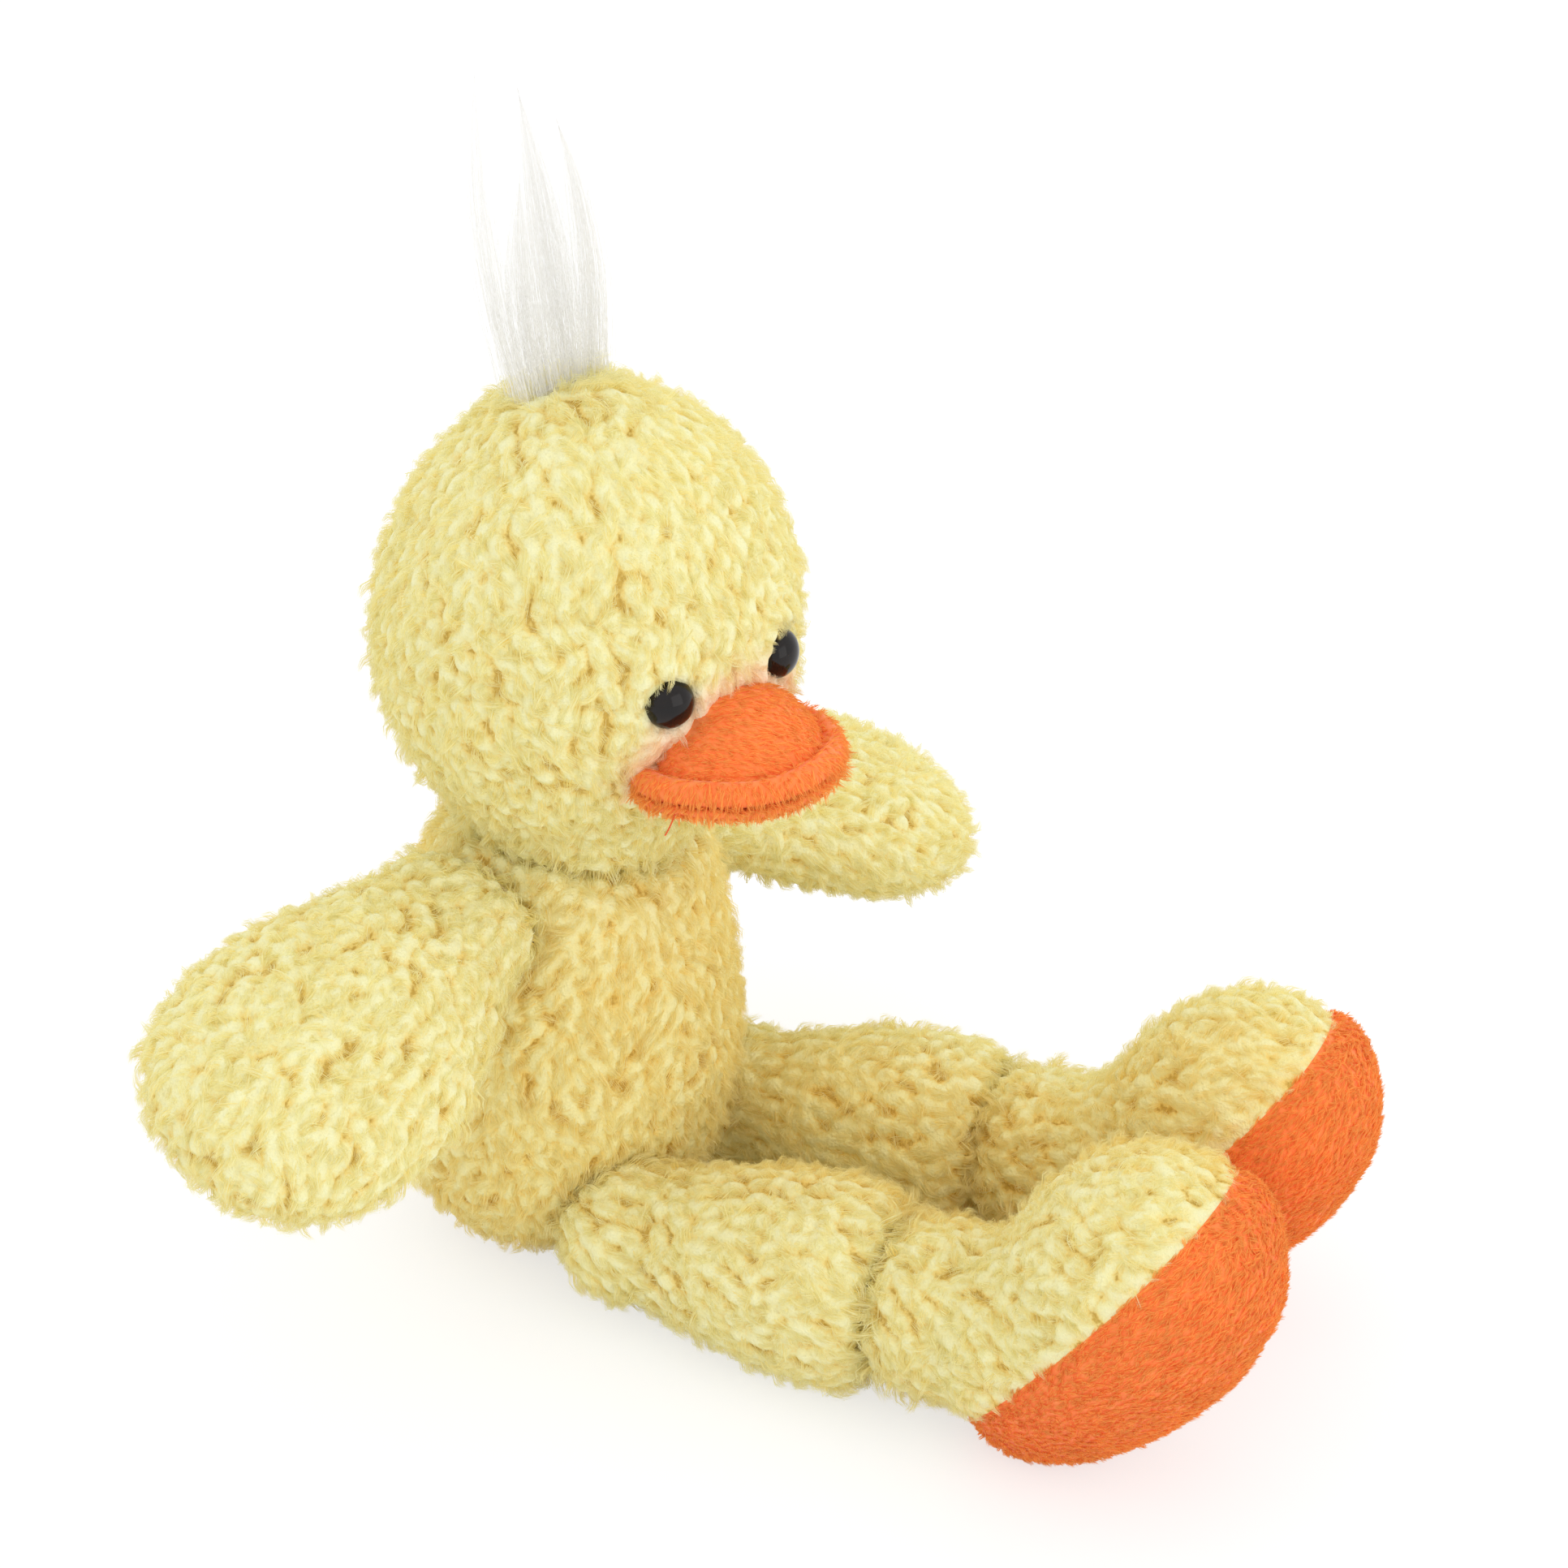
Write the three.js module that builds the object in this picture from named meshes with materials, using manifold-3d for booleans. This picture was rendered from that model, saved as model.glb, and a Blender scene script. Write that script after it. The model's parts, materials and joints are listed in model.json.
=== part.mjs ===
// A stuffed plush chick that sits with its legs out in front and its wings spread, as the pieces it is sewn from:
// fabric covers, stuffing, bill, safety eyes with their washers, crest and seam threads.
// Millimetres, +Z up, facing -Y, its own left along +X. The origin is the middle of the seat.

import * as THREE from "three";
import { mergeVertices } from "three/addons/utils/BufferGeometryUtils.js";
import Module from "manifold-3d";

const wasm = await Module();
wasm.setup();

const { degToRad, lerp, smoothstep } = THREE.MathUtils;

// Fabrics, threads and fits
const PILE = 5; // curly pile fabric, backing and pile together
const NAP = 2.5; // short-nap fabric of the bill and the soles
const FIT = 0.3; // gap between pieces that are sewn or seated together
const THREAD = 1.4; // seam thread, thickness
const FLOOR_CUT = 0.5; // how far each rounded base is pressed flat

// Torso
const TORSO_HEIGHT = 134; // seat to closed top, before the head is let in
const TORSO_WIDTH = 112; // across the hips
const SHOULDER_WIDTH = 86; // across the top
const TORSO_DEPTH = 98; // front to back at the hips
const TORSO_BLUNTNESS = 0.55; // under 1 for blunter ends

// Head
const HEAD_HEIGHT = 116;
const HEAD_WIDTH = 110; // across the cheeks
const CROWN_WIDTH = 104; // across the top, where the head narrows
const HEAD_DEPTH = 106; // front to back at the cheeks
const HEAD_BLUNTNESS = 0.95;
const HEAD_DROP = 24; // chin below the neck pivot
const HEAD_TURN = -21; // degrees, to its own right
const NECK_BALL = 36; // radius of the stuffed ball that the head turns on
const NECK_RISE = 2; // neck pivot above the torso's closed top
const NECK_FORWARD = 3; // neck pivot ahead of the middle of the torso
const NECK_HOLE = 40; // opening in the head cover, diameter
const NECK_SEAM = 58; // degrees from straight down to the gathering thread

// Eyes
const EYE_DIAMETER = 12;
const EYE_DOME = 4.8; // height of the dome
const EYE_SPACING = 38; // between centres
const EYE_RISE = 1.5; // above the middle of the head
const EYE_SINK = 3.5; // how deep the dome's back sits in the pile
const SHANK_DIAMETER = 4;
const SHANK_LENGTH = 9;
const WASHER_DIAMETER = 13;
const WASHER_THICKNESS = 1.6;

// Bill
const BILL_WIDTH = 50;
const BILL_REACH = 24; // out of the face
const BILL_HEIGHT = 19; // dome above the mouth
const BILL_DROP = 5; // lower bill below the mouth
const BILL_LOW = 19; // mouth below the middle of the head
const BILL_TILT = 8; // degrees, front raised
const BILL_RIM = 4.5; // thickness of the rolled rim

// Crest of long hair
const CREST_LENGTH = 76;
const CREST_WIDTH = 32;
const CREST_LOCKS = [1, 0.89, 0.76, 0.56]; // each lock's share of the length
const CREST_LEAN = 8; // degrees, backwards
const CREST_FAN = 16; // degrees between the outer locks
const CREST_BACK = 12; // behind the middle of the crown
const CREST_TAB = 3; // thickness of the sewn-in tab

// Wings
const WING_LENGTH = 103; // from the shoulder pivot to the tip
const WING_WIDTH = 73;
const WING_THICKNESS = 34;
const WING_BALL = 14; // radius of the sewn root, across the wing's thickness
const WING_ROOT = 46; // width of the sewn root
const WING_TIP = 36; // length of the rounded tip
const SHOULDER_HEIGHT = { left: 94, right: 105 }; // the stuffing slumps to its left
const SHOULDER_ANGLE = { left: 80, right: 103 }; // degrees round from the front, with the chest turned
const WING_DROOP = { left: 20, right: 11 }; // degrees below level
const WING_SWEEP = { left: 26, right: -8 }; // degrees forward
const WING_ROLL = { left: 10, right: 20 }; // degrees that the back edge is raised

// Legs
const LEG_LENGTH = 82; // from the hip pivot to the ankle pivot
const LEG_WIDTH = 54; // at the ankle end, where the leg is fullest
const LEG_BALL = 20; // radius of the sewn root
const LEG_TIP = 14; // length of the rounded ankle end
const HIP_HEIGHT = 22;
const HIP_ANGLE = 39; // degrees round from the front
const LEG_SPLAY = { left: 2, right: 2 }; // degrees outward

// Feet
const FOOT_LENGTH = 96; // heel to toe
const HEEL_WIDTH = 52;
const TOE_WIDTH = 68;
const FOOT_THICKNESS = 70;
const FOOT_TILT = { left: 54, right: 56 }; // degrees that the toe is raised from the line of the leg
const FOOT_REACH = 41; // middle of the foot ahead of the ankle pivot
const FOOT_BALL = 24; // radius of the sewn root
const INSTEP_WIDTH = 58; // between the ankle and the foot
const SOLE_SEAM = -3; // seam plane, from the middle of the foot towards the sole
const SOLE_TILT = 5; // degrees that the seam plane leans out at the toe

// Facets
const SIDES = 14;
const RINGS = 7;

// Degrees from a root's innermost point to the thread that holds it
const ROOT_SEAM = 66;
// How far a sewn root stands out of the cover that it is sewn to, as a share of its ball
const ROOT_STAND = 0.2;
// Where a limb's root ball ends and its swell begins, as a share of the ball
const WAIST = 0.5;

const FINISHES = {
  curly_pile: { color: 0xf0e6a0, roughness: 0.95 },
  short_nap: { color: 0xff7a3e, roughness: 0.85 },
  long_hair: { color: 0xf6f4ee, roughness: 0.6 },
  eye_plastic: { color: 0x0a0a0a, roughness: 0.08 },
  washer_plastic: { color: 0xe6e6e2, roughness: 0.5 },
  fibre_fill: { color: 0xf7f7f4, roughness: 1 },
  sewing_thread: { color: 0xe0d080, roughness: 0.8 },
};
const materials = Object.fromEntries(
  Object.entries(FINISHES).map(([name, look]) => [
    name,
    new THREE.MeshStandardMaterial({ name, metalness: 0, ...look }),
  ]),
);

// Solids

function solidOf(geometry, matrix = new THREE.Matrix4()) {
  const bare = geometry.clone().applyMatrix4(matrix);
  bare.deleteAttribute("normal");
  bare.deleteAttribute("uv");
  const merged = mergeVertices(bare, 1e-4);
  const vertProperties = merged.getAttribute("position").array;
  const triVerts = new Uint32Array(merged.index.array);
  return new wasm.Manifold(new wasm.Mesh({ numProp: 3, vertProperties, triVerts }));
}

const cut = (solid, ...tools) => tools.reduce((rest, tool) => rest.subtract(tool), solid);
const join = (solid, ...others) => others.reduce((whole, other) => whole.add(other), solid);

function addMesh(group, name, solid, finish) {
  const { vertProperties, triVerts } = solid.getMesh();
  const geometry = new THREE.BufferGeometry();
  geometry.setAttribute("position", new THREE.BufferAttribute(vertProperties, 3));
  geometry.setIndex(new THREE.BufferAttribute(triVerts, 1));
  geometry.computeVertexNormals();
  const mesh = new THREE.Mesh(geometry, materials[finish]);
  mesh.name = name;
  group.add(mesh);
}

// A profile of (half-width, height) points turned about +Z
function turned(profile, sides = SIDES) {
  return new THREE.LatheGeometry(profile, sides).rotateX(Math.PI / 2);
}

const placed = (x, y, z) => new THREE.Matrix4().makeTranslation(x, y, z);

// A ball with its poles on Z; larger balls have more facets
function ball(radius) {
  const rings = Math.round(2 + radius * 0.3);
  return new THREE.SphereGeometry(radius, 2 * rings, rings).rotateX(Math.PI / 2);
}

// The radius of a faceted hollow that a ball turns in without touching its flats
function socketRadius(radius) {
  const rings = Math.round(2 + radius * 0.3);
  return (radius + FIT) / Math.cos(Math.PI / (2 * rings)) ** 2;
}

const socketAt = (radius, centre) => solidOf(ball(socketRadius(radius)), placed(...centre.toArray()));

// A seam thread: a ring round +Z at the given angle from straight down, let into the hollow round a ball
function seamThread(radius, degrees, clearance = 0) {
  const reach = socketRadius(radius) + THREAD / 2 + FIT;
  const angle = degToRad(degrees);
  const steps = 2 * Math.round(radius / 3);
  const ring = new THREE.TorusGeometry(reach * Math.sin(angle), THREAD / 2 + clearance, 4, steps);
  return ring.translate(0, 0, -reach * Math.cos(angle));
}

// Stuffed bags

// Half-width of a bag at a share of its length: low and high widths, drawn in to a round end at each side
function bagHalf(along, low, high, bluntness) {
  const drawnIn = Math.max(0, 4 * along * (1 - along)) ** (bluntness / 2);
  return (lerp(low, high, smoothstep(along, 0, 1)) / 2) * drawnIn;
}

function bag(length, low, high, bluntness) {
  const profile = [];
  for (let i = 0; i <= RINGS; i += 1) {
    const along = (1 - Math.cos((Math.PI * i) / RINGS)) / 2;
    const half = i % RINGS === 0 ? 0 : bagHalf(along, low, high, bluntness);
    profile.push(new THREE.Vector2(half, along * length));
  }
  return turned(profile);
}

// Widens a form along X, by one ratio up to a height and by another from a greater height on
function widen(geometry, from, to, lowRatio, highRatio) {
  const position = geometry.getAttribute("position");
  for (let i = 0; i < position.count; i += 1) {
    const share = smoothstep(position.getZ(i), from, to);
    position.setX(i, position.getX(i) * lerp(lowRatio, highRatio, share));
  }
  return geometry;
}

// A limb along +Z: a ball at the root seam, a waist, a swell to the full width and a round tip
function limb(root, width, length, tip) {
  const profile = [];
  const waistAngle = Math.asin(WAIST);
  const rootSteps = 4;
  const swellSteps = 3;
  const tipSteps = 3;
  for (let i = 0; i <= rootSteps; i += 1) {
    const angle = lerp(-Math.PI / 2, waistAngle, i / rootSteps);
    profile.push(new THREE.Vector2(i === 0 ? 0 : root * Math.cos(angle), root * Math.sin(angle)));
  }
  const waist = root * Math.cos(waistAngle);
  const waistHeight = root * WAIST;
  for (let i = 1; i <= swellSteps; i += 1) {
    const share = i / swellSteps;
    const half = lerp(waist, width / 2, Math.sin((share * Math.PI) / 2));
    profile.push(new THREE.Vector2(half, lerp(waistHeight, length - tip, share)));
  }
  const full = profile.at(-1).x;
  for (let i = 1; i <= tipSteps; i += 1) {
    const angle = ((Math.PI / 2) * i) / tipSteps;
    const half = i === tipSteps ? 0 : full * Math.cos(angle) ** 0.8;
    profile.push(new THREE.Vector2(half, length - tip + tip * Math.sin(angle)));
  }
  return turned(profile);
}

// Each form takes an inset, so that a cover's two faces and the stuffing inside it come from the same sizes.

function torsoForm(inset) {
  const form = bag(
    TORSO_HEIGHT + FLOOR_CUT - 2 * inset,
    TORSO_WIDTH - 2 * inset,
    SHOULDER_WIDTH - 2 * inset,
    TORSO_BLUNTNESS,
  );
  const depth = (TORSO_DEPTH - 2 * inset) / (TORSO_WIDTH - 2 * inset);
  return form.scale(1, depth, 1).translate(0, 0, inset - FLOOR_CUT);
}

function headForm(inset) {
  const form = bag(
    HEAD_HEIGHT - 2 * inset,
    HEAD_WIDTH - 2 * inset,
    CROWN_WIDTH - 2 * inset,
    HEAD_BLUNTNESS,
  );
  const depth = (HEAD_DEPTH - 2 * inset) / (HEAD_WIDTH - 2 * inset);
  return form.scale(1, depth, 1).translate(0, 0, inset - HEAD_DROP);
}

function wingForm(inset) {
  const form = limb(WING_BALL - inset, WING_THICKNESS - 2 * inset, WING_LENGTH - inset, WING_TIP);
  const rootRatio = (WING_ROOT / 2 - inset) / (WING_BALL - inset);
  const fullRatio = (WING_WIDTH - 2 * inset) / (WING_THICKNESS - 2 * inset);
  return widen(form, WING_BALL * WAIST, WING_LENGTH / 2, rootRatio, fullRatio);
}

// The ankle end stops short of the ankle pivot, so that the foot's root stands out of it.
const legEnd = LEG_LENGTH - FOOT_BALL * ROOT_STAND;
const legForm = (inset) => limb(LEG_BALL - inset, LEG_WIDTH - 2 * inset, legEnd - inset, LEG_TIP);

// The foot in its own frame: +Z from heel to toe, +Y out of the sole
function footForm(inset) {
  const form = bag(FOOT_LENGTH - 2 * inset, HEEL_WIDTH - 2 * inset, TOE_WIDTH - 2 * inset, 0.85);
  const ratio = (FOOT_THICKNESS - 2 * inset) / (TOE_WIDTH - 2 * inset);
  return form.scale(1, ratio, 1).translate(0, 0, inset - FOOT_LENGTH / 2);
}

// From the ankle into the foot, along the line of the leg
function instepForm(inset) {
  const reach = FOOT_REACH + FOOT_BALL / 2 - inset;
  return limb(FOOT_BALL - inset, INSTEP_WIDTH - 2 * inset, reach, FOOT_BALL);
}

// A point on the torso's cover at a height, a number of degrees round from the front
function torsoPoint(height, degrees, side) {
  const along = (height + FLOOR_CUT) / (TORSO_HEIGHT + FLOOR_CUT);
  const half = bagHalf(along, TORSO_WIDTH, SHOULDER_WIDTH, TORSO_BLUNTNESS);
  const angle = degToRad(degrees);
  const depth = TORSO_DEPTH / TORSO_WIDTH;
  return new THREE.Vector3(side * half * Math.sin(angle), -half * depth * Math.cos(angle), height);
}

// The pivot of a limb sewn to the torso: its ball stands a little out of the cover
function sewnPivot(height, degrees, side, root) {
  const point = torsoPoint(height, degrees, side);
  const outward = new THREE.Vector3(point.x, point.y, 0).normalize();
  return point.addScaledVector(outward, root * ROOT_STAND);
}

// The opening in a limb's cover inside its seam
function rootHole(root) {
  const radius = (root - PILE) * 0.7;
  const hole = new THREE.CylinderGeometry(radius, radius, root, SIDES).rotateX(Math.PI / 2);
  return solidOf(hole.translate(0, 0, -root / 2 - radius));
}

// A limb's group: +Z along the limb, +X along the axis that lifts it, +Y down, rolled about its length
function limbGroup(name, pivot, direction, roll) {
  const up = new THREE.Vector3(0, 0, 1);
  const axis = new THREE.Vector3().crossVectors(direction, up).normalize();
  axis.applyAxisAngle(direction, degToRad(roll));
  const down = new THREE.Vector3().crossVectors(direction, axis);
  const group = new THREE.Group();
  group.name = name;
  group.setRotationFromMatrix(new THREE.Matrix4().makeBasis(axis, down, direction));
  group.position.copy(pivot);
  return group;
}

// Everything under the surface that the toy sits on, in a group's own frame
function floorIn(group) {
  group.updateWorldMatrix(true, false);
  const size = 4 * (TORSO_HEIGHT + LEG_LENGTH);
  const slab = new THREE.BoxGeometry(size, size, size).translate(0, 0, -size / 2);
  return solidOf(slab, group.matrixWorld.clone().invert());
}

const chick = new THREE.Group();
chick.name = "plush_chick";
const sides = { left: 1, right: -1 };

// Torso, with a dish for the head and a hollow for each limb

const neckPivot = new THREE.Vector3(0, -NECK_FORWARD, TORSO_HEIGHT + NECK_RISE);
const shoulders = {};
const hips = {};
for (const [name, side] of Object.entries(sides)) {
  shoulders[name] = sewnPivot(SHOULDER_HEIGHT[name], SHOULDER_ANGLE[name], side, WING_BALL);
  hips[name] = sewnPivot(HIP_HEIGHT, HIP_ANGLE, side, LEG_BALL);
}

const wings = {};
const legs = {};
const fullAt = legEnd - LEG_TIP;
// The legs slope so that their fullest part rests on the floor.
const legSlope = Math.asin((LEG_WIDTH / 2 - FLOOR_CUT - HIP_HEIGHT) / fullAt);
for (const [name, side] of Object.entries(sides)) {
  const droop = degToRad(WING_DROOP[name]);
  const sweep = degToRad(WING_SWEEP[name]);
  const splay = degToRad(LEG_SPLAY[name]);
  const wingDirection = new THREE.Vector3(
    side * Math.cos(sweep) * Math.cos(droop),
    -Math.sin(sweep) * Math.cos(droop),
    -Math.sin(droop),
  );
  const legDirection = new THREE.Vector3(
    side * Math.sin(splay) * Math.cos(legSlope),
    -Math.cos(splay) * Math.cos(legSlope),
    Math.sin(legSlope),
  );
  wings[name] = limbGroup(`wing_${name}`, shoulders[name], wingDirection, side * WING_ROLL[name]);
  legs[name] = limbGroup(`leg_${name}`, hips[name], legDirection, 0);
  chick.add(wings[name], legs[name]);
}

// The frame of a limb's seam on the torso: +Z straight out of the cover, stretched with the root along its axis
function seamFrame(group, stretch) {
  group.updateWorldMatrix(true, false);
  const outward = new THREE.Vector3(group.position.x, group.position.y, 0);
  outward.transformDirection(group.matrixWorld.clone().invert());
  const turn = new THREE.Quaternion().setFromUnitVectors(new THREE.Vector3(0, 0, 1), outward);
  const frame = group.matrixWorld.clone().scale(new THREE.Vector3(stretch, 1, 1));
  return frame.multiply(new THREE.Matrix4().makeRotationFromQuaternion(turn));
}

const seams = { neck: { root: NECK_BALL, angle: NECK_SEAM, frame: placed(...neckPivot.toArray()) } };
for (const name of Object.keys(sides)) {
  const stretch = WING_ROOT / (2 * WING_BALL);
  seams[`shoulder_${name}`] = { root: WING_BALL, angle: ROOT_SEAM, frame: seamFrame(wings[name], stretch) };
  seams[`hip_${name}`] = { root: LEG_BALL, angle: ROOT_SEAM, frame: seamFrame(legs[name], 1) };
}
const torsoHollows = Object.values(seams).flatMap(({ root, angle, frame }) => [
  solidOf(ball(socketRadius(root)), frame),
  solidOf(seamThread(root, angle, FIT), frame),
]);
torsoHollows.push(solidOf(headForm(-FIT), seams.neck.frame));

const torsoCover = cut(solidOf(torsoForm(0)), solidOf(torsoForm(PILE)), ...torsoHollows, floorIn(chick));
addMesh(chick, "torso_cover", torsoCover, "curly_pile");
addMesh(chick, "torso_stuffing", cut(solidOf(torsoForm(PILE + FIT)), ...torsoHollows), "fibre_fill");
for (const [name, { root, angle, frame }] of Object.entries(seams)) {
  addMesh(chick, `${name}_thread`, solidOf(seamThread(root, angle), frame), "sewing_thread");
}

// Head

const head = new THREE.Group();
head.name = "head";
head.position.copy(neckPivot);
head.rotation.z = degToRad(HEAD_TURN);
chick.add(head);

const headOuter = join(solidOf(headForm(0)), solidOf(ball(NECK_BALL)));
const headInner = join(solidOf(headForm(PILE)), solidOf(ball(NECK_BALL - PILE)));
const headFill = join(solidOf(headForm(PILE + FIT)), solidOf(ball(NECK_BALL - PILE - FIT)));
const headMiddle = HEAD_HEIGHT / 2 - HEAD_DROP;

const neckHole = new THREE.CylinderGeometry(NECK_HOLE / 2, NECK_HOLE / 2, 2 * NECK_BALL, SIDES);
const neckHoleTool = solidOf(neckHole.rotateX(Math.PI / 2).translate(0, 0, -NECK_BALL));

// A frame on the head's cover at a height, off the middle line: +Z straight out of the cover
function headFrame(height, off) {
  const surface = (x, z) => {
    const along = (z + HEAD_DROP) / HEAD_HEIGHT;
    const half = bagHalf(along, HEAD_WIDTH, CROWN_WIDTH, HEAD_BLUNTNESS);
    const depth = HEAD_DEPTH / HEAD_WIDTH;
    return new THREE.Vector3(x, -depth * Math.sqrt(half ** 2 - x ** 2), z);
  };
  const step = 0.5;
  const across = surface(off + step, height).sub(surface(off - step, height)).normalize();
  const upward = surface(off, height + step).sub(surface(off, height - step));
  const outward = new THREE.Vector3().crossVectors(across, upward).normalize();
  upward.crossVectors(outward, across);
  return new THREE.Matrix4().makeBasis(across, upward, outward).setPosition(surface(off, height));
}

// Safety eyes: a domed head on a shank, held behind the cover by a locking washer

const eyeBack = -EYE_SINK;
const washerTop = -PILE - FIT;

function eyeForm(clearance) {
  const radius = EYE_DIAMETER / 2 + clearance;
  const shank = SHANK_DIAMETER / 2 + clearance;
  const foot = eyeBack - SHANK_LENGTH - clearance;
  const profile = [new THREE.Vector2(0, foot), new THREE.Vector2(shank, foot)];
  profile.push(new THREE.Vector2(shank, eyeBack - clearance));
  const steps = 4;
  for (let i = 0; i < steps; i += 1) {
    const angle = ((Math.PI / 2) * i) / steps;
    const height = eyeBack - clearance + (EYE_DOME + 2 * clearance) * Math.sin(angle);
    profile.push(new THREE.Vector2(radius * Math.cos(angle), height));
  }
  profile.push(new THREE.Vector2(0, eyeBack + EYE_DOME + clearance));
  return turned(profile);
}

// The washer is a dished disc with a raised collar that grips the shank
function washerForm() {
  const bore = SHANK_DIAMETER / 2 + FIT;
  const rim = WASHER_DIAMETER / 2;
  const collar = bore + WASHER_THICKNESS;
  const under = washerTop - WASHER_THICKNESS;
  const profile = [
    new THREE.Vector2(bore, under - WASHER_THICKNESS),
    new THREE.Vector2(collar, under - WASHER_THICKNESS),
    new THREE.Vector2(collar, under),
    new THREE.Vector2(rim, under + WASHER_THICKNESS / 4),
    new THREE.Vector2(rim, washerTop),
    new THREE.Vector2(bore, washerTop),
    new THREE.Vector2(bore, under - WASHER_THICKNESS),
  ];
  return turned(profile);
}

// The parted pile round the dome
function eyeOpening() {
  const radius = EYE_DIAMETER / 2 + FIT;
  const open = EYE_DOME + PILE;
  const parted = new THREE.CylinderGeometry(radius, radius, open, SIDES).rotateX(Math.PI / 2);
  return parted.translate(0, 0, eyeBack - FIT + open / 2);
}

// The flat seat that the washer presses into the back of the cover and the stuffing
function washerRoom() {
  const radius = WASHER_DIAMETER / 2 + FIT;
  const deep = 2 * (WASHER_THICKNESS + FIT);
  const room = new THREE.CylinderGeometry(radius, radius, deep, SIDES).rotateX(Math.PI / 2);
  return room.translate(0, 0, washerTop + FIT - deep / 2);
}

const eyeFrames = {};
for (const [name, side] of Object.entries(sides)) {
  eyeFrames[name] = headFrame(headMiddle + EYE_RISE, (side * EYE_SPACING) / 2);
}
const eyeRooms = Object.values(eyeFrames).flatMap((frame) => [
  solidOf(eyeForm(FIT), frame),
  solidOf(eyeOpening(), frame),
  solidOf(washerRoom(), frame),
]);

// Crest: tapered locks of long hair on a tab that is sewn into the crown

const crown = HEAD_HEIGHT - HEAD_DROP;

function crestTab(clearance) {
  const width = CREST_WIDTH * 0.7 + 2 * clearance;
  const depth = CREST_TAB + 2 * clearance;
  const height = 2 * PILE;
  return new THREE.BoxGeometry(width, depth, height).translate(0, CREST_BACK, crown);
}

function crestLock(share, length) {
  const spread = CREST_WIDTH / CREST_LOCKS.length;
  const profile = [
    new THREE.Vector2(0, -PILE),
    new THREE.Vector2(spread * 0.75, -PILE),
    new THREE.Vector2(spread * 0.9, length * 0.3),
    new THREE.Vector2(spread * 0.6, length * 0.65),
    new THREE.Vector2(0, length),
  ];
  const form = turned(profile, 7).scale(1, 1.3, 1);
  form.rotateY(degToRad(CREST_FAN * (share - 0.5)));
  form.translate((share - 0.5) * (CREST_WIDTH - 2 * spread), 0, 0);
  return form.rotateX(-degToRad(CREST_LEAN)).translate(0, CREST_BACK, crown);
}

const crestLocks = CREST_LOCKS.map((part, i) =>
  solidOf(crestLock(i / (CREST_LOCKS.length - 1), part * CREST_LENGTH)),
);

// Bill: a stuffed dome with a rolled rim over a flat lower bill

const mouth = headMiddle - BILL_LOW;
const billFrame = new THREE.Matrix4()
  .makeRotationX(-degToRad(BILL_TILT))
  .setPosition(new THREE.Vector3().setFromMatrixPosition(headFrame(mouth, 0)));

function billForm(inset, height) {
  const form = new THREE.SphereGeometry(1, SIDES, RINGS).rotateX(Math.PI / 2);
  form.scale(BILL_WIDTH / 2 - inset, BILL_REACH - inset, height - inset);
  return solidOf(form, billFrame);
}

// Everything above the mouth plane, or below it
function mouthSide(above) {
  const size = 4 * (BILL_WIDTH + BILL_REACH);
  const middle = above ? size / 2 : -size / 2 - FIT;
  return solidOf(new THREE.BoxGeometry(size, size, size).translate(0, 0, middle), billFrame);
}

function billRim() {
  const outline = [];
  const steps = 12;
  const inset = BILL_RIM / 3;
  for (let i = 0; i <= steps; i += 1) {
    const angle = Math.PI * (1 + i / steps);
    const x = (BILL_WIDTH / 2 - inset) * Math.cos(angle);
    const y = (BILL_REACH - inset) * Math.sin(angle);
    outline.push(new THREE.Vector3(x, y, BILL_RIM / 2));
  }
  const section = new THREE.Shape().absarc(0, 0, BILL_RIM / 2, 0, 2 * Math.PI);
  const extrudePath = new THREE.CatmullRomCurve3(outline);
  return new THREE.ExtrudeGeometry(section, { steps: 16, curveSegments: 4, extrudePath });
}

const faceRoom = solidOf(headForm(-FIT));

addMesh(
  head,
  "head_cover",
  cut(headOuter, headInner, neckHoleTool, ...eyeRooms, solidOf(crestTab(FIT))),
  "curly_pile",
);
addMesh(head, "head_stuffing", cut(headFill, ...eyeRooms), "fibre_fill");
for (const [name, frame] of Object.entries(eyeFrames)) {
  addMesh(head, `eye_${name}`, solidOf(eyeForm(0), frame), "eye_plastic");
  addMesh(head, `eye_washer_${name}`, solidOf(washerForm(), frame), "washer_plastic");
}
const billDome = billForm(0, BILL_HEIGHT).intersect(mouthSide(true));
const billFill = billForm(NAP + FIT, BILL_HEIGHT).intersect(mouthSide(true));
const billFloor = billForm(BILL_RIM / 6, BILL_DROP).intersect(mouthSide(false));
const billUpper = cut(join(billDome, solidOf(billRim(), billFrame)), billForm(NAP, BILL_HEIGHT), faceRoom);
addMesh(head, "bill_upper", billUpper, "short_nap");
addMesh(head, "bill_stuffing", cut(billFill, faceRoom), "fibre_fill");
addMesh(head, "bill_lower", cut(billFloor, faceRoom), "short_nap");
addMesh(head, "crest_locks", cut(join(...crestLocks), faceRoom), "long_hair");
addMesh(
  head,
  "crest_tab",
  cut(solidOf(headForm(0)).intersect(solidOf(crestTab(0))), solidOf(headForm(PILE - FIT))),
  "long_hair",
);

// Wings

for (const [name, wing] of Object.entries(wings)) {
  const cover = cut(solidOf(wingForm(0)), solidOf(wingForm(PILE)), rootHole(WING_BALL));
  addMesh(wing, `wing_${name}_cover`, cover, "curly_pile");
  addMesh(wing, `wing_${name}_stuffing`, solidOf(wingForm(PILE + FIT)), "fibre_fill");
}

// Legs and feet

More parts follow.
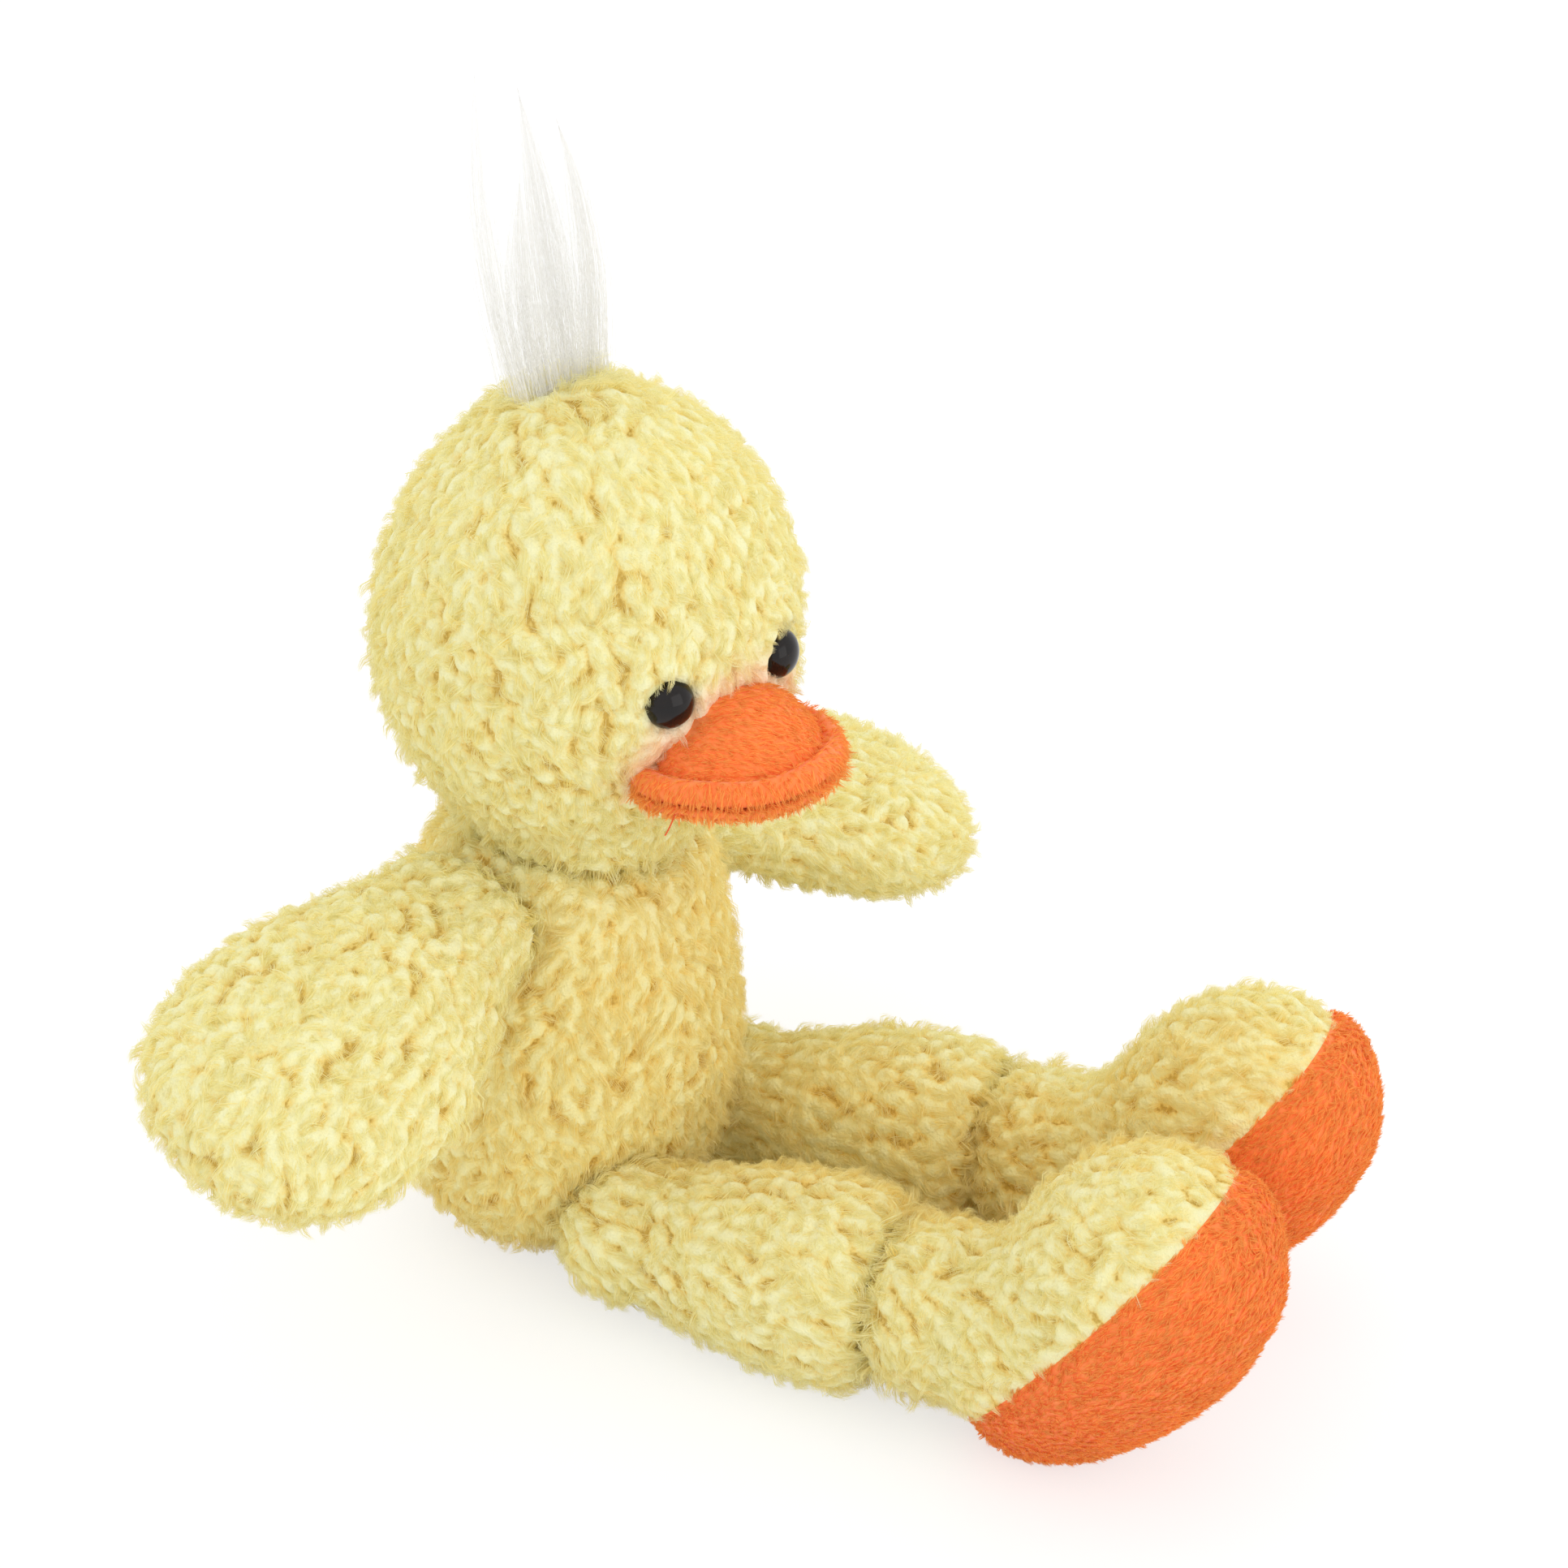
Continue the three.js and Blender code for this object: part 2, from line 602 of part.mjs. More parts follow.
for (const [name, leg] of Object.entries(legs)) {
  const ankle = new THREE.Vector3(0, 0, LEG_LENGTH);
  const ankleHollows = [
    socketAt(FOOT_BALL, ankle),
    solidOf(seamThread(FOOT_BALL, ROOT_SEAM, FIT), placed(...ankle.toArray())),
  ];
  const cover = cut(
    solidOf(legForm(0)),
    solidOf(legForm(PILE)),
    rootHole(LEG_BALL),
    ...ankleHollows,
    floorIn(leg),
  );
  addMesh(leg, `leg_${name}_cover`, cover, "curly_pile");
  addMesh(leg, `leg_${name}_stuffing`, cut(solidOf(legForm(PILE + FIT)), ...ankleHollows), "fibre_fill");
  addMesh(
    leg,
    `ankle_${name}_thread`,
    solidOf(seamThread(FOOT_BALL, ROOT_SEAM), placed(...ankle.toArray())),
    "sewing_thread",
  );

  const foot = new THREE.Group();
  foot.name = `foot_${name}`;
  foot.position.copy(ankle);
  leg.add(foot);

  // The foot stands on its heel: it is raised until its lowest point reaches the floor.
  const frame = new THREE.Matrix4().makeRotationX(degToRad(FOOT_TILT[name])).setPosition(0, 0, FOOT_REACH);
  foot.updateWorldMatrix(true, false);
  const stood = footForm(0).applyMatrix4(frame).applyMatrix4(foot.matrixWorld);
  stood.computeBoundingBox();
  const raise = -FLOOR_CUT - stood.boundingBox.min.z;
  const inward = foot.matrixWorld.clone().invert();
  const rise = new THREE.Vector3(0, 0, raise).transformDirection(inward).multiplyScalar(Math.abs(raise));
  frame.premultiply(placed(...rise.toArray()));

  const soleSide = (gap) => {
    const size = 4 * FOOT_LENGTH;
    const block = new THREE.BoxGeometry(size, size, size).translate(0, size / 2 + SOLE_SEAM + gap, 0);
    return block.rotateX(-degToRad(SOLE_TILT));
  };
  const upperSide = (gap) => {
    const size = 4 * FOOT_LENGTH;
    const block = new THREE.BoxGeometry(size, size, size).translate(0, SOLE_SEAM + gap - size / 2, 0);
    return block.rotateX(-degToRad(SOLE_TILT));
  };
  const heelFloor = floorIn(foot);
  const upper = cut(
    join(solidOf(footForm(0), frame), solidOf(instepForm(0))),
    solidOf(footForm(PILE), frame),
    solidOf(instepForm(PILE)),
    solidOf(soleSide(-FIT / 2), frame),
    rootHole(FOOT_BALL),
    heelFloor,
  );
  addMesh(foot, `foot_${name}_upper`, upper, "curly_pile");
  const sole = cut(
    solidOf(footForm(0), frame),
    solidOf(footForm(NAP), frame),
    solidOf(upperSide(FIT / 2), frame),
    heelFloor,
  );
  addMesh(foot, `foot_${name}_sole`, sole, "short_nap");
  const fill = join(
    solidOf(footForm(PILE + FIT), frame),
    cut(solidOf(instepForm(PILE + FIT)), solidOf(soleSide(-FIT), frame)),
    cut(solidOf(footForm(NAP + FIT), frame), solidOf(upperSide(FIT), frame)),
  );
  addMesh(foot, `foot_${name}_stuffing`, fill, "fibre_fill");
}

export default chick;
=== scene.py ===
import itertools
import json
import math
import bmesh
import bpy
import numpy as np
from mathutils import Matrix, Vector, noise
from mathutils.bvhtree import BVHTree
from mathutils.kdtree import KDTree

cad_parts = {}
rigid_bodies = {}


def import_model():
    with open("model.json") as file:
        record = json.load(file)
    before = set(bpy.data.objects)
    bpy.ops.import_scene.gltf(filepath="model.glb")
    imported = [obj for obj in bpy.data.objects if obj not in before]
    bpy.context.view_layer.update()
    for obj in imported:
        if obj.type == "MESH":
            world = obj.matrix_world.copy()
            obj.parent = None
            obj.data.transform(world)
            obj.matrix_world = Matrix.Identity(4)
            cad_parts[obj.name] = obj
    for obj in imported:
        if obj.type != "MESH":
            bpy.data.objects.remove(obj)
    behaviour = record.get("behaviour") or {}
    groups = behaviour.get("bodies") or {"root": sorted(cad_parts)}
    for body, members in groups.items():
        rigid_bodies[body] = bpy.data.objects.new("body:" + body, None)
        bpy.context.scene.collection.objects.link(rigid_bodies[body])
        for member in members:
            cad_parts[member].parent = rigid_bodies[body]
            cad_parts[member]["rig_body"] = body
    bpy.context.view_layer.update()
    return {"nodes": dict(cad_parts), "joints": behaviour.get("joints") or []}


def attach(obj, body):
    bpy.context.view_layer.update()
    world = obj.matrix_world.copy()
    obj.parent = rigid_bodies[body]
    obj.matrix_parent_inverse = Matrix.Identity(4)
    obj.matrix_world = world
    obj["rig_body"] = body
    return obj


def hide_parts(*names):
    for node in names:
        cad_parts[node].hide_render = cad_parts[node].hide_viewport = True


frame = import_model()
nodes = frame["nodes"]
joints = {joint["name"]: joint for joint in frame["joints"]}
scene = bpy.context.scene
mm = 0.001
floorGap = 0.4 * mm  # skins end this far above the floor
print("frame loaded,", len(nodes), "nodes")


# small helpers for selecting, applying and reading meshes
def pick(piece):
    bpy.ops.object.select_all(action="DESELECT")
    piece.select_set(True)
    bpy.context.view_layer.objects.active = piece


def applyModifiers(piece):
    pick(piece)
    for modifier in list(piece.modifiers):
        bpy.ops.object.modifier_apply(modifier=modifier.name)


def editAll(piece, operator, **options):
    pick(piece)
    bpy.ops.object.mode_set(mode="EDIT")
    bpy.ops.mesh.select_all(action="SELECT")
    operator(**options)
    bpy.ops.object.mode_set(mode="OBJECT")


def points(piece):
    flat = np.empty(len(piece.data.vertices) * 3)
    piece.data.vertices.foreach_get("co", flat)
    return flat.reshape(-1, 3)


def setPoints(piece, places):
    piece.data.vertices.foreach_set("co", np.asarray(places, np.float32).ravel())
    piece.data.update()


def outward(piece):
    flat = np.empty(len(piece.data.vertices) * 3, np.float32)
    piece.data.vertex_normals.foreach_get("vector", flat)
    return flat.reshape(-1, 3).astype(float)


def unit(vector):
    vector = np.asarray(vector, float)
    return vector / np.maximum(np.linalg.norm(vector, axis=-1, keepdims=True), 1e-12)


def smoothRamp(low, high, value):
    share = np.clip((value - low) / (high - low), 0, 1)
    return share * share * (3 - 2 * share)


def middle(nodeName):
    return points(nodes[nodeName]).mean(0)


def jointPlace(name):
    return np.array(joints[name]["pos_m"])


def copyNodes(name, *nodeNames):  # a CAD node's mesh is copied and its doubles merged
    copies = []
    for nodeName in nodeNames:
        copied = nodes[nodeName].copy()
        copied.data = nodes[nodeName].data.copy()
        copied.parent = None
        for key in list(copied.keys()):
            del copied[key]
        scene.collection.objects.link(copied)
        copies.append(copied)
    pick(copies[0])
    for copied in copies:
        copied.select_set(True)
    if len(copies) > 1:
        bpy.ops.object.join()
    piece = copies[0]
    piece.name = piece.data.name = name
    piece.data.materials.clear()
    editAll(piece, bpy.ops.mesh.remove_doubles, threshold=0.00001)
    return piece


def finishPiece(piece, body, slot, *stoodFor):
    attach(piece, body)
    if stoodFor:
        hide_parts(*stoodFor)


# materials: helpers that add nodes, then one function for each finish
def newPaint(name, roughness, **sockets):
    paint = bpy.data.materials.new(name)
    paint.use_nodes = True
    shader = paint.node_tree.nodes["Principled BSDF"]
    shader.inputs["Roughness"].default_value = roughness
    for socket, value in sockets.items():
        shader.inputs[socket.replace("_", " ")].default_value = value
    return paint, paint.node_tree, shader


def put(tree, kind, inputs=None, **settings):
    node = tree.nodes.new(kind)
    for key, value in settings.items():
        setattr(node, key, value)
    for key, value in (inputs or {}).items():
        if isinstance(value, bpy.types.NodeSocket):
            tree.links.new(value, node.inputs[key])
        else:
            node.inputs[key].default_value = value
    return node


def ramp(tree, factor, *stops):  # stops are (place, colour)
    node = put(tree, "ShaderNodeValToRGB", {"Fac": factor})
    while len(node.color_ramp.elements) < len(stops):
        node.color_ramp.elements.new(0.5)
    for element, (place, colour) in zip(node.color_ramp.elements, stops):
        element.position = place
        element.color = (*colour, 1)
    return node.outputs["Color"]


def bumped(tree, shader, height, strength, distance):
    node = put(tree, "ShaderNodeBump", {"Height": height, "Strength": strength, "Distance": distance})
    tree.links.new(node.outputs["Normal"], shader.inputs["Normal"])


def strandTexture(tree, across, along):  # streaks that run along each tuft, on its own UV
    uv = put(tree, "ShaderNodeUVMap", uv_map="UVMap").outputs["UV"]
    stretched = put(tree, "ShaderNodeMapping", {"Vector": uv, "Scale": (across, along, 1)})
    noise = put(tree, "ShaderNodeTexNoise", {"Vector": stretched.outputs["Vector"], "Scale": 1.0, "Detail": 3.0})
    split = put(tree, "ShaderNodeSeparateXYZ", {"Vector": uv})
    return noise.outputs["Fac"], split.outputs["Y"]


# the first tint is partly wear and partly painted shade on the belly and inner legs; the second is a blush next to the
# bill
tintSettings = [("MULTIPLY", "pileWarm", (1.0, 0.92, 0.74, 1)), ("MIX", "pileBlush", (1.0, 0.76, 0.56, 1))]


def pileTints(tree, colour):  # deeper gold on the belly and between the legs, partly wear and partly painted shade, and a blush next to the bill
    for blend, attribute, tint in tintSettings:
        share = put(tree, "ShaderNodeAttribute", attribute_name=attribute).outputs["Fac"]
        colour = put(tree, "ShaderNodeMix", {0: share, 6: colour, 7: tint}, data_type="RGBA", blend_type=blend).outputs[2]
    return colour


fibreFinish = {"roughness": 0.92, "through": 0.45, "streakShare": 0.35, "bump": 0.5 * mm}


def fibrePaint(name, stops, toneSpan, patch, across, along, relief, sheen, shaded=False, ribbons=True):
    paint, tree, shader = newPaint(name, fibreFinish["roughness"], **sheen)
    streak, length = strandTexture(tree, across, along)
    if shaded:  # painted shade: coloured from a darker gold underside to a pale top, and not by length
        length = put(tree, "ShaderNodeAttribute", attribute_name="tuftShade").outputs["Fac"]
    colour = ramp(tree, length, *stops)
    if shaded:
        colour = pileTints(tree, colour)
    tone = put(tree, "ShaderNodeAttribute", attribute_name="tuftTone").outputs["Fac"]
    place = put(tree, "ShaderNodeTexCoord").outputs["Object"]
    cloud = put(tree, "ShaderNodeTexNoise", {"Vector": place, "Scale": patch, "Detail": 2.0}).outputs["Fac"]
    streakTone = put(tree, "ShaderNodeMath", {0: streak, 1: fibreFinish["streakShare"]}, operation="MULTIPLY").outputs[0]
    mixed = put(tree, "ShaderNodeMath", {0: tone, 1: streakTone}, operation="ADD").outputs[0]
    mixed = put(tree, "ShaderNodeMath", {0: mixed, 1: cloud}, operation="ADD").outputs[0]
    value = put(tree, "ShaderNodeMapRange", {"Value": mixed, 1: 0.4, 2: 2.0, 3: 1 - toneSpan, 4: 1 + toneSpan})
    tinted = put(tree, "ShaderNodeHueSaturation", {"Color": colour, "Value": value.outputs[0]})
    tree.links.new(tinted.outputs["Color"], shader.inputs["Base Color"])
    bumped(tree, shader, streak, relief, fibreFinish["bump"])
    if not ribbons:
        return paint
    through = put(tree, "ShaderNodeBsdfTranslucent", {"Color": tinted.outputs["Color"]})  # the fibres let light through
    both = put(tree, "ShaderNodeMixShader", {0: fibreFinish["through"], 1: shader.outputs[0], 2: through.outputs[0]})
    tree.links.new(both.outputs[0], tree.nodes["Material Output"].inputs["Surface"])
    return paint


def bunchPaint():  # bunched pile seen between the locks, with painted shade: pale on top and darker gold in its creases
    paint, tree, shader = newPaint("bunchedPile", 0.95, Specular_IOR_Level=0.1)
    place = put(tree, "ShaderNodeTexCoord").outputs["Object"]
    fine = put(tree, "ShaderNodeTexNoise", {"Vector": place, "Scale": 1100.0, "Detail": 4.0}).outputs["Fac"]
    top = put(tree, "ShaderNodeAttribute", attribute_name="bunchShade").outputs["Fac"]
    rough = put(tree, "ShaderNodeMapRange", {"Value": fine, 1: 0.3, 2: 0.7, 3: -0.16, 4: 0.16}).outputs[0]
    mixed = put(tree, "ShaderNodeMath", {0: top, 1: rough}, operation="ADD").outputs[0]
    # painted shade: darker gold in the creases between bunches, pale on their tops
    colour = ramp(
        tree, mixed, (0.0, (0.66, 0.45, 0.11)), (0.22, (0.93, 0.74, 0.27)),
        (0.55, (0.935, 0.87, 0.45)), (1.0, (0.925, 0.90, 0.54)))
    tree.links.new(pileTints(tree, colour), shader.inputs["Base Color"])
    bumped(tree, shader, fine, 0.8, 0.0009)
    return paint


def napGroundPaint():  # the woven ground under the short orange nap
    paint, tree, shader = newPaint("napGround", 0.9, Sheen_Weight=0.25, Sheen_Roughness=0.5)
    place = put(tree, "ShaderNodeTexCoord").outputs["Object"]
    streak = put(tree, "ShaderNodeTexNoise", {"Vector": place, "Scale": 420.0, "Detail": 3.0}).outputs["Fac"]
    colour = ramp(tree, streak, (0.25, (0.97, 0.20, 0.04)), (0.75, (1.0, 0.30, 0.08)))
    tree.links.new(colour, shader.inputs["Base Color"])
    bumped(tree, shader, streak, 0.5, 0.0006)
    return paint


def threadPaint(name, dark, light, turns):  # twisted ply, seen on the seam threads
    paint, tree, shader = newPaint(name, 0.7)
    place = put(tree, "ShaderNodeTexCoord").outputs["Object"]
    ply = put(tree, "ShaderNodeTexWave", {"Vector": place, "Scale": turns, "Distortion": 2.0}, bands_direction="DIAGONAL")
    tree.links.new(ramp(tree, ply.outputs["Fac"], (0.2, dark), (0.8, light)), shader.inputs["Base Color"])
    bumped(tree, shader, ply.outputs["Fac"], 0.6, 0.0003)
    return paint


def eyePaint():  # moulded dark plastic with faint swirls and polish marks
    paint, tree, shader = newPaint("eyePlastic", 0.06, Specular_IOR_Level=0.3)
    place = put(tree, "ShaderNodeTexCoord").outputs["Object"]
    swirl = put(tree, "ShaderNodeTexNoise", {"Vector": place, "Scale": 260.0, "Detail": 4.0}).outputs["Fac"]
    colour = ramp(tree, swirl, (0.3, (0.006, 0.005, 0.005)), (0.8, (0.016, 0.010, 0.008)))
    tree.links.new(colour, shader.inputs["Base Color"])
    gloss = put(tree, "ShaderNodeMapRange", {"Value": swirl, 3: 0.04, 4: 0.12}).outputs[0]
    tree.links.new(gloss, shader.inputs["Roughness"])
    return paint


def washerPaint():  # milky pressed plastic
    paint, tree, shader = newPaint("washerPlastic", 0.45)
    place = put(tree, "ShaderNodeTexCoord").outputs["Object"]
    grain = put(tree, "ShaderNodeTexNoise", {"Vector": place, "Scale": 500.0, "Detail": 3.0}).outputs["Fac"]
    tree.links.new(ramp(tree, grain, (0.3, (0.62, 0.61, 0.57)), (0.7, (0.76, 0.75, 0.71))), shader.inputs["Base Color"])
    bumped(tree, shader, grain, 0.2, 0.0002)
    return paint


def tabPaint():  # plain woven tape that holds the crest
    paint, tree, shader = newPaint("crestTape", 0.85)
    place = put(tree, "ShaderNodeTexCoord").outputs["Object"]
    weave = put(tree, "ShaderNodeTexChecker", {
        "Vector": place, "Scale": 1500.0, "Color1": (0.80, 0.77, 0.68, 1), "Color2": (0.70, 0.66, 0.56, 1)})
    tree.links.new(weave.outputs["Color"], shader.inputs["Base Color"])
    bumped(tree, shader, weave.outputs["Fac"], 0.4, 0.0002)
    return paint


napSheen = {"Sheen_Weight": 0.25, "Sheen_Roughness": 0.45, "Sheen_Tint": (1, 0.7, 0.5, 1), "Specular_IOR_Level": 0.2}
softSheen = {"Sheen_Weight": 0.12, "Sheen_Roughness": 0.5, "Sheen_Tint": (1, 0.93, 0.7, 1), "Specular_IOR_Level": 0.1}
# the curly pile's ramp runs from darker gold on each lock's underside to pale on its top: painted shade
pilePaint = fibrePaint(
    "curlyPile",
    [(0.0, (0.95, 0.69, 0.18)), (0.3, (0.98, 0.85, 0.38)), (0.65, (0.97, 0.92, 0.55)), (1.0, (0.95, 0.935, 0.62))],
    0.03, 22.0, 9.0, 1.6, 0.1, softSheen, True)
napPaint = fibrePaint(
    "shortNap",
    [(0.0, (1.0, 0.49, 0.13)), (0.5, (1.0, 0.60, 0.19)), (1.0, (1.0, 0.67, 0.23))],
    0.09, 60.0, 5.0, 1.4, 0.2, napSheen)
hairPaint = fibrePaint(
    "longHair",
    [(0.0, (0.97, 0.955, 0.915)), (1.0, (0.985, 0.98, 0.96))],
    0.04, 30.0, 3.0, 12.0, 0.1, {"Specular_IOR_Level": 0.3}, ribbons=False)
bunched = bunchPaint()
napGround = napGroundPaint()
print("finishes made")


# stuffed skins: a CAD stuffing is remeshed, evened out, swollen and blown up as cloth
clothSettings = {"pressure": 4, "quality": 5, "steps": 20}


def plump(piece, voxel, swell, settle, relax):
    piece.data.remesh_voxel_size = voxel
    pick(piece)
    bpy.ops.object.voxel_remesh()
    even = piece.modifiers.new("even", "SMOOTH")
    even.factor, even.iterations = 0.5, relax
    applyModifiers(piece)
    start = points(piece) + outward(piece) * swell
    setPoints(piece, start)
    stuffed = piece.modifiers.new("stuffed", "CLOTH")
    stuffed.settings.use_pressure = True
    stuffed.settings.uniform_pressure_force = clothSettings["pressure"]
    stuffed.settings.effector_weights.gravity = 0
    stuffed.settings.quality = clothSettings["quality"]
    for step in range(1, clothSettings["steps"] + 1):
        scene.frame_set(step)
    applyModifiers(piece)
    scene.frame_set(1)
    moved = points(piece) - start
    far = np.linalg.norm(moved, axis=1, keepdims=True)
    setPoints(piece, start + moved * np.minimum(1, settle / np.maximum(far, 1e-9)))
    fine = piece.modifiers.new("fine", "SUBSURF")
    fine.levels = fine.render_levels = 1
    applyModifiers(piece)
    places = points(piece)
    places[:, 2] = np.maximum(places[:, 2], floorGap)  # pressed flat where it rests on the floor
    setPoints(piece, places)
    pick(piece)
    bpy.ops.object.shade_smooth()
    return piece


skinSettings = {"voxel": 4.5 * mm, "swell": 3.8 * mm, "settle": 0.6 * mm, "relax": 4}
skinNames = ["torso", "head", "wing_left", "wing_right", "leg_left", "leg_right", "foot_left", "foot_right"]
skins = {name: plump(copyNodes(name + "_skin", name + "_stuffing"), **skinSettings) for name in skinNames}
nearWing = skins["wing_right"]  # its back edge is stuffed fuller
fullSettings = {"by": 3.0 * mm, "facing": (0, 0.5, 0.86), "fromRoot": (12 * mm, 30 * mm)}
upper = outward(nearWing) @ np.array(fullSettings["facing"])
fromRoot = np.linalg.norm(points(nearWing) - jointPlace("wing_right_lift"), axis=1)
fuller = fullSettings["by"] * smoothRamp(0.1, 0.8, upper) * smoothRamp(*fullSettings["fromRoot"], fromRoot)
setPoints(nearWing, points(nearWing) + outward(nearWing) * fuller[:, None])
print("skins stuffed", {name: len(skin.data.polygons) for name, skin in skins.items()})


def field(piece, name, kind, values):
    made = piece.data.attributes.get(name) or piece.data.attributes.new(name, kind, "POINT")
    made.data.foreach_set("vector" if kind == "FLOAT_VECTOR" else "value", np.asarray(values, np.float32).ravel())


# one tuft is modelled in a few shapes and scattered as the pile
lockShapes = {
    "lockLong": {"half": (2.3, 1.7), "length": 9.4, "gather": 0.34, "curl": 105, "tilt": 20, "root": 2.2},
    "lockWisp": {"half": (2.1, 1.6), "length": 10.0, "gather": 0.28, "curl": 90, "tilt": 26, "root": 2.1},
    "lockCurl": {"half": (2.4, 1.8), "length": 9.8, "gather": 0.45, "curl": 165, "tilt": -8, "root": 2.2},
    "lockPuff": {"half": (2.5, 2.0), "length": 8.2, "gather": 0.50, "curl": 130, "tilt": 0, "root": 2.2},
}
fibreSettings = {"count": 27, "half": 0.08, "stray": 0.28, "stations": (0.1, 0.6, 1.0), "widths": (1.0, 0.9)}
napShapes = {
    "napFlat": {"half": (0.55, 0.40), "length": 2.9, "gather": 0.7, "curl": 26, "tilt": 62, "root": 0.25},
    "napLong": {"half": (0.50, 0.40), "length": 3.4, "gather": 0.6, "curl": 20, "tilt": 66, "root": 0.25},
    "napCurl": {"half": (0.60, 0.45), "length": 2.6, "gather": 0.8, "curl": 36, "tilt": 56, "root": 0.25},
}
napFibres = {"count": 6, "half": 0.10, "stray": 0.12, "stations": (0.05, 0.6, 1.0), "widths": (1.0, 0.9)}


def finishTuft(tuft, shape, group):  # bent, leant, sunk by its root, and given painted shade from its darker underside to its pale top
    curl = tuft.modifiers.new("curl", "SIMPLE_DEFORM")
    curl.deform_method, curl.deform_axis, curl.angle = "BEND", "Y", math.radians(shape["curl"])
    applyModifiers(tuft)
    lowered = Matrix.Translation((0, 0, -shape["root"])) @ Matrix.Rotation(math.radians(shape["tilt"]), 4, "Y")
    tuft.data.transform(Matrix.Scale(mm, 4) @ lowered)
    rise = points(tuft)[:, 2]
    # painted shade: each lock's underside is stored low, to be painted darker gold
    field(tuft, "tuftShade", "FLOAT", (rise - rise.min()) / np.ptp(rise))
    for home in list(tuft.users_collection):
        home.objects.unlink(tuft)
    group.objects.link(tuft)


def makeLocks(name, shapes, fibres):  # a lock is a gathered bundle of flat pointed fibres
    group = bpy.data.collections.new(name)
    for number, (shapeName, shape) in enumerate(shapes.items()):
        rng = np.random.default_rng(40 + number)
        tuft = bpy.data.objects.new(shapeName, bpy.data.meshes.new(shapeName))
        scene.collection.objects.link(tuft)
        half = np.array(shape["half"])
        mesh = bmesh.new()
        sheet = mesh.loops.layers.uv.verify()
        for fibre in range(fibres["count"]):
            angle, out = rng.uniform(0, 2 * math.pi), math.sqrt(rng.uniform(0.05, 1))
            start = np.array([math.cos(angle), math.sin(angle)]) * out * half
            end = start * shape["gather"] + rng.normal(0, 1, 2) * fibres["stray"]
            sway = rng.normal(0, 1, 2) * fibres["stray"]
            long = shape["length"] * rng.uniform(0.8, 1.08)
            facing = angle + rng.normal(0, 0.6)
            aside = np.array([-math.sin(facing), math.cos(facing), 0]) * fibres["half"]
            corners = []
            for share, width in zip(fibres["stations"], fibres["widths"] + (0,)):
                flat = start * (1 - share ** 2) + end * share ** 2 + sway * math.sin(math.pi * share)
                centre = np.array([*flat, long * share])
                corners += [centre - aside * width, centre + aside * width] if width else [centre]
            corners = [mesh.verts.new(corner) for corner in corners]
            for order in ((0, 1, 3, 2), (2, 3, 4)):
                face = mesh.faces.new([corners[i] for i in order])
                for loop, i in zip(face.loops, order):
                    loop[sheet].uv = (fibre / fibres["count"], (i // 2) / 2)
        mesh.to_mesh(tuft.data)
        mesh.free()
        finishTuft(tuft, shape, group)
    return group


pileTufts = makeLocks("pileTufts", lockShapes, fibreSettings)
napTufts = makeLocks("napTufts", napShapes, napFibres)


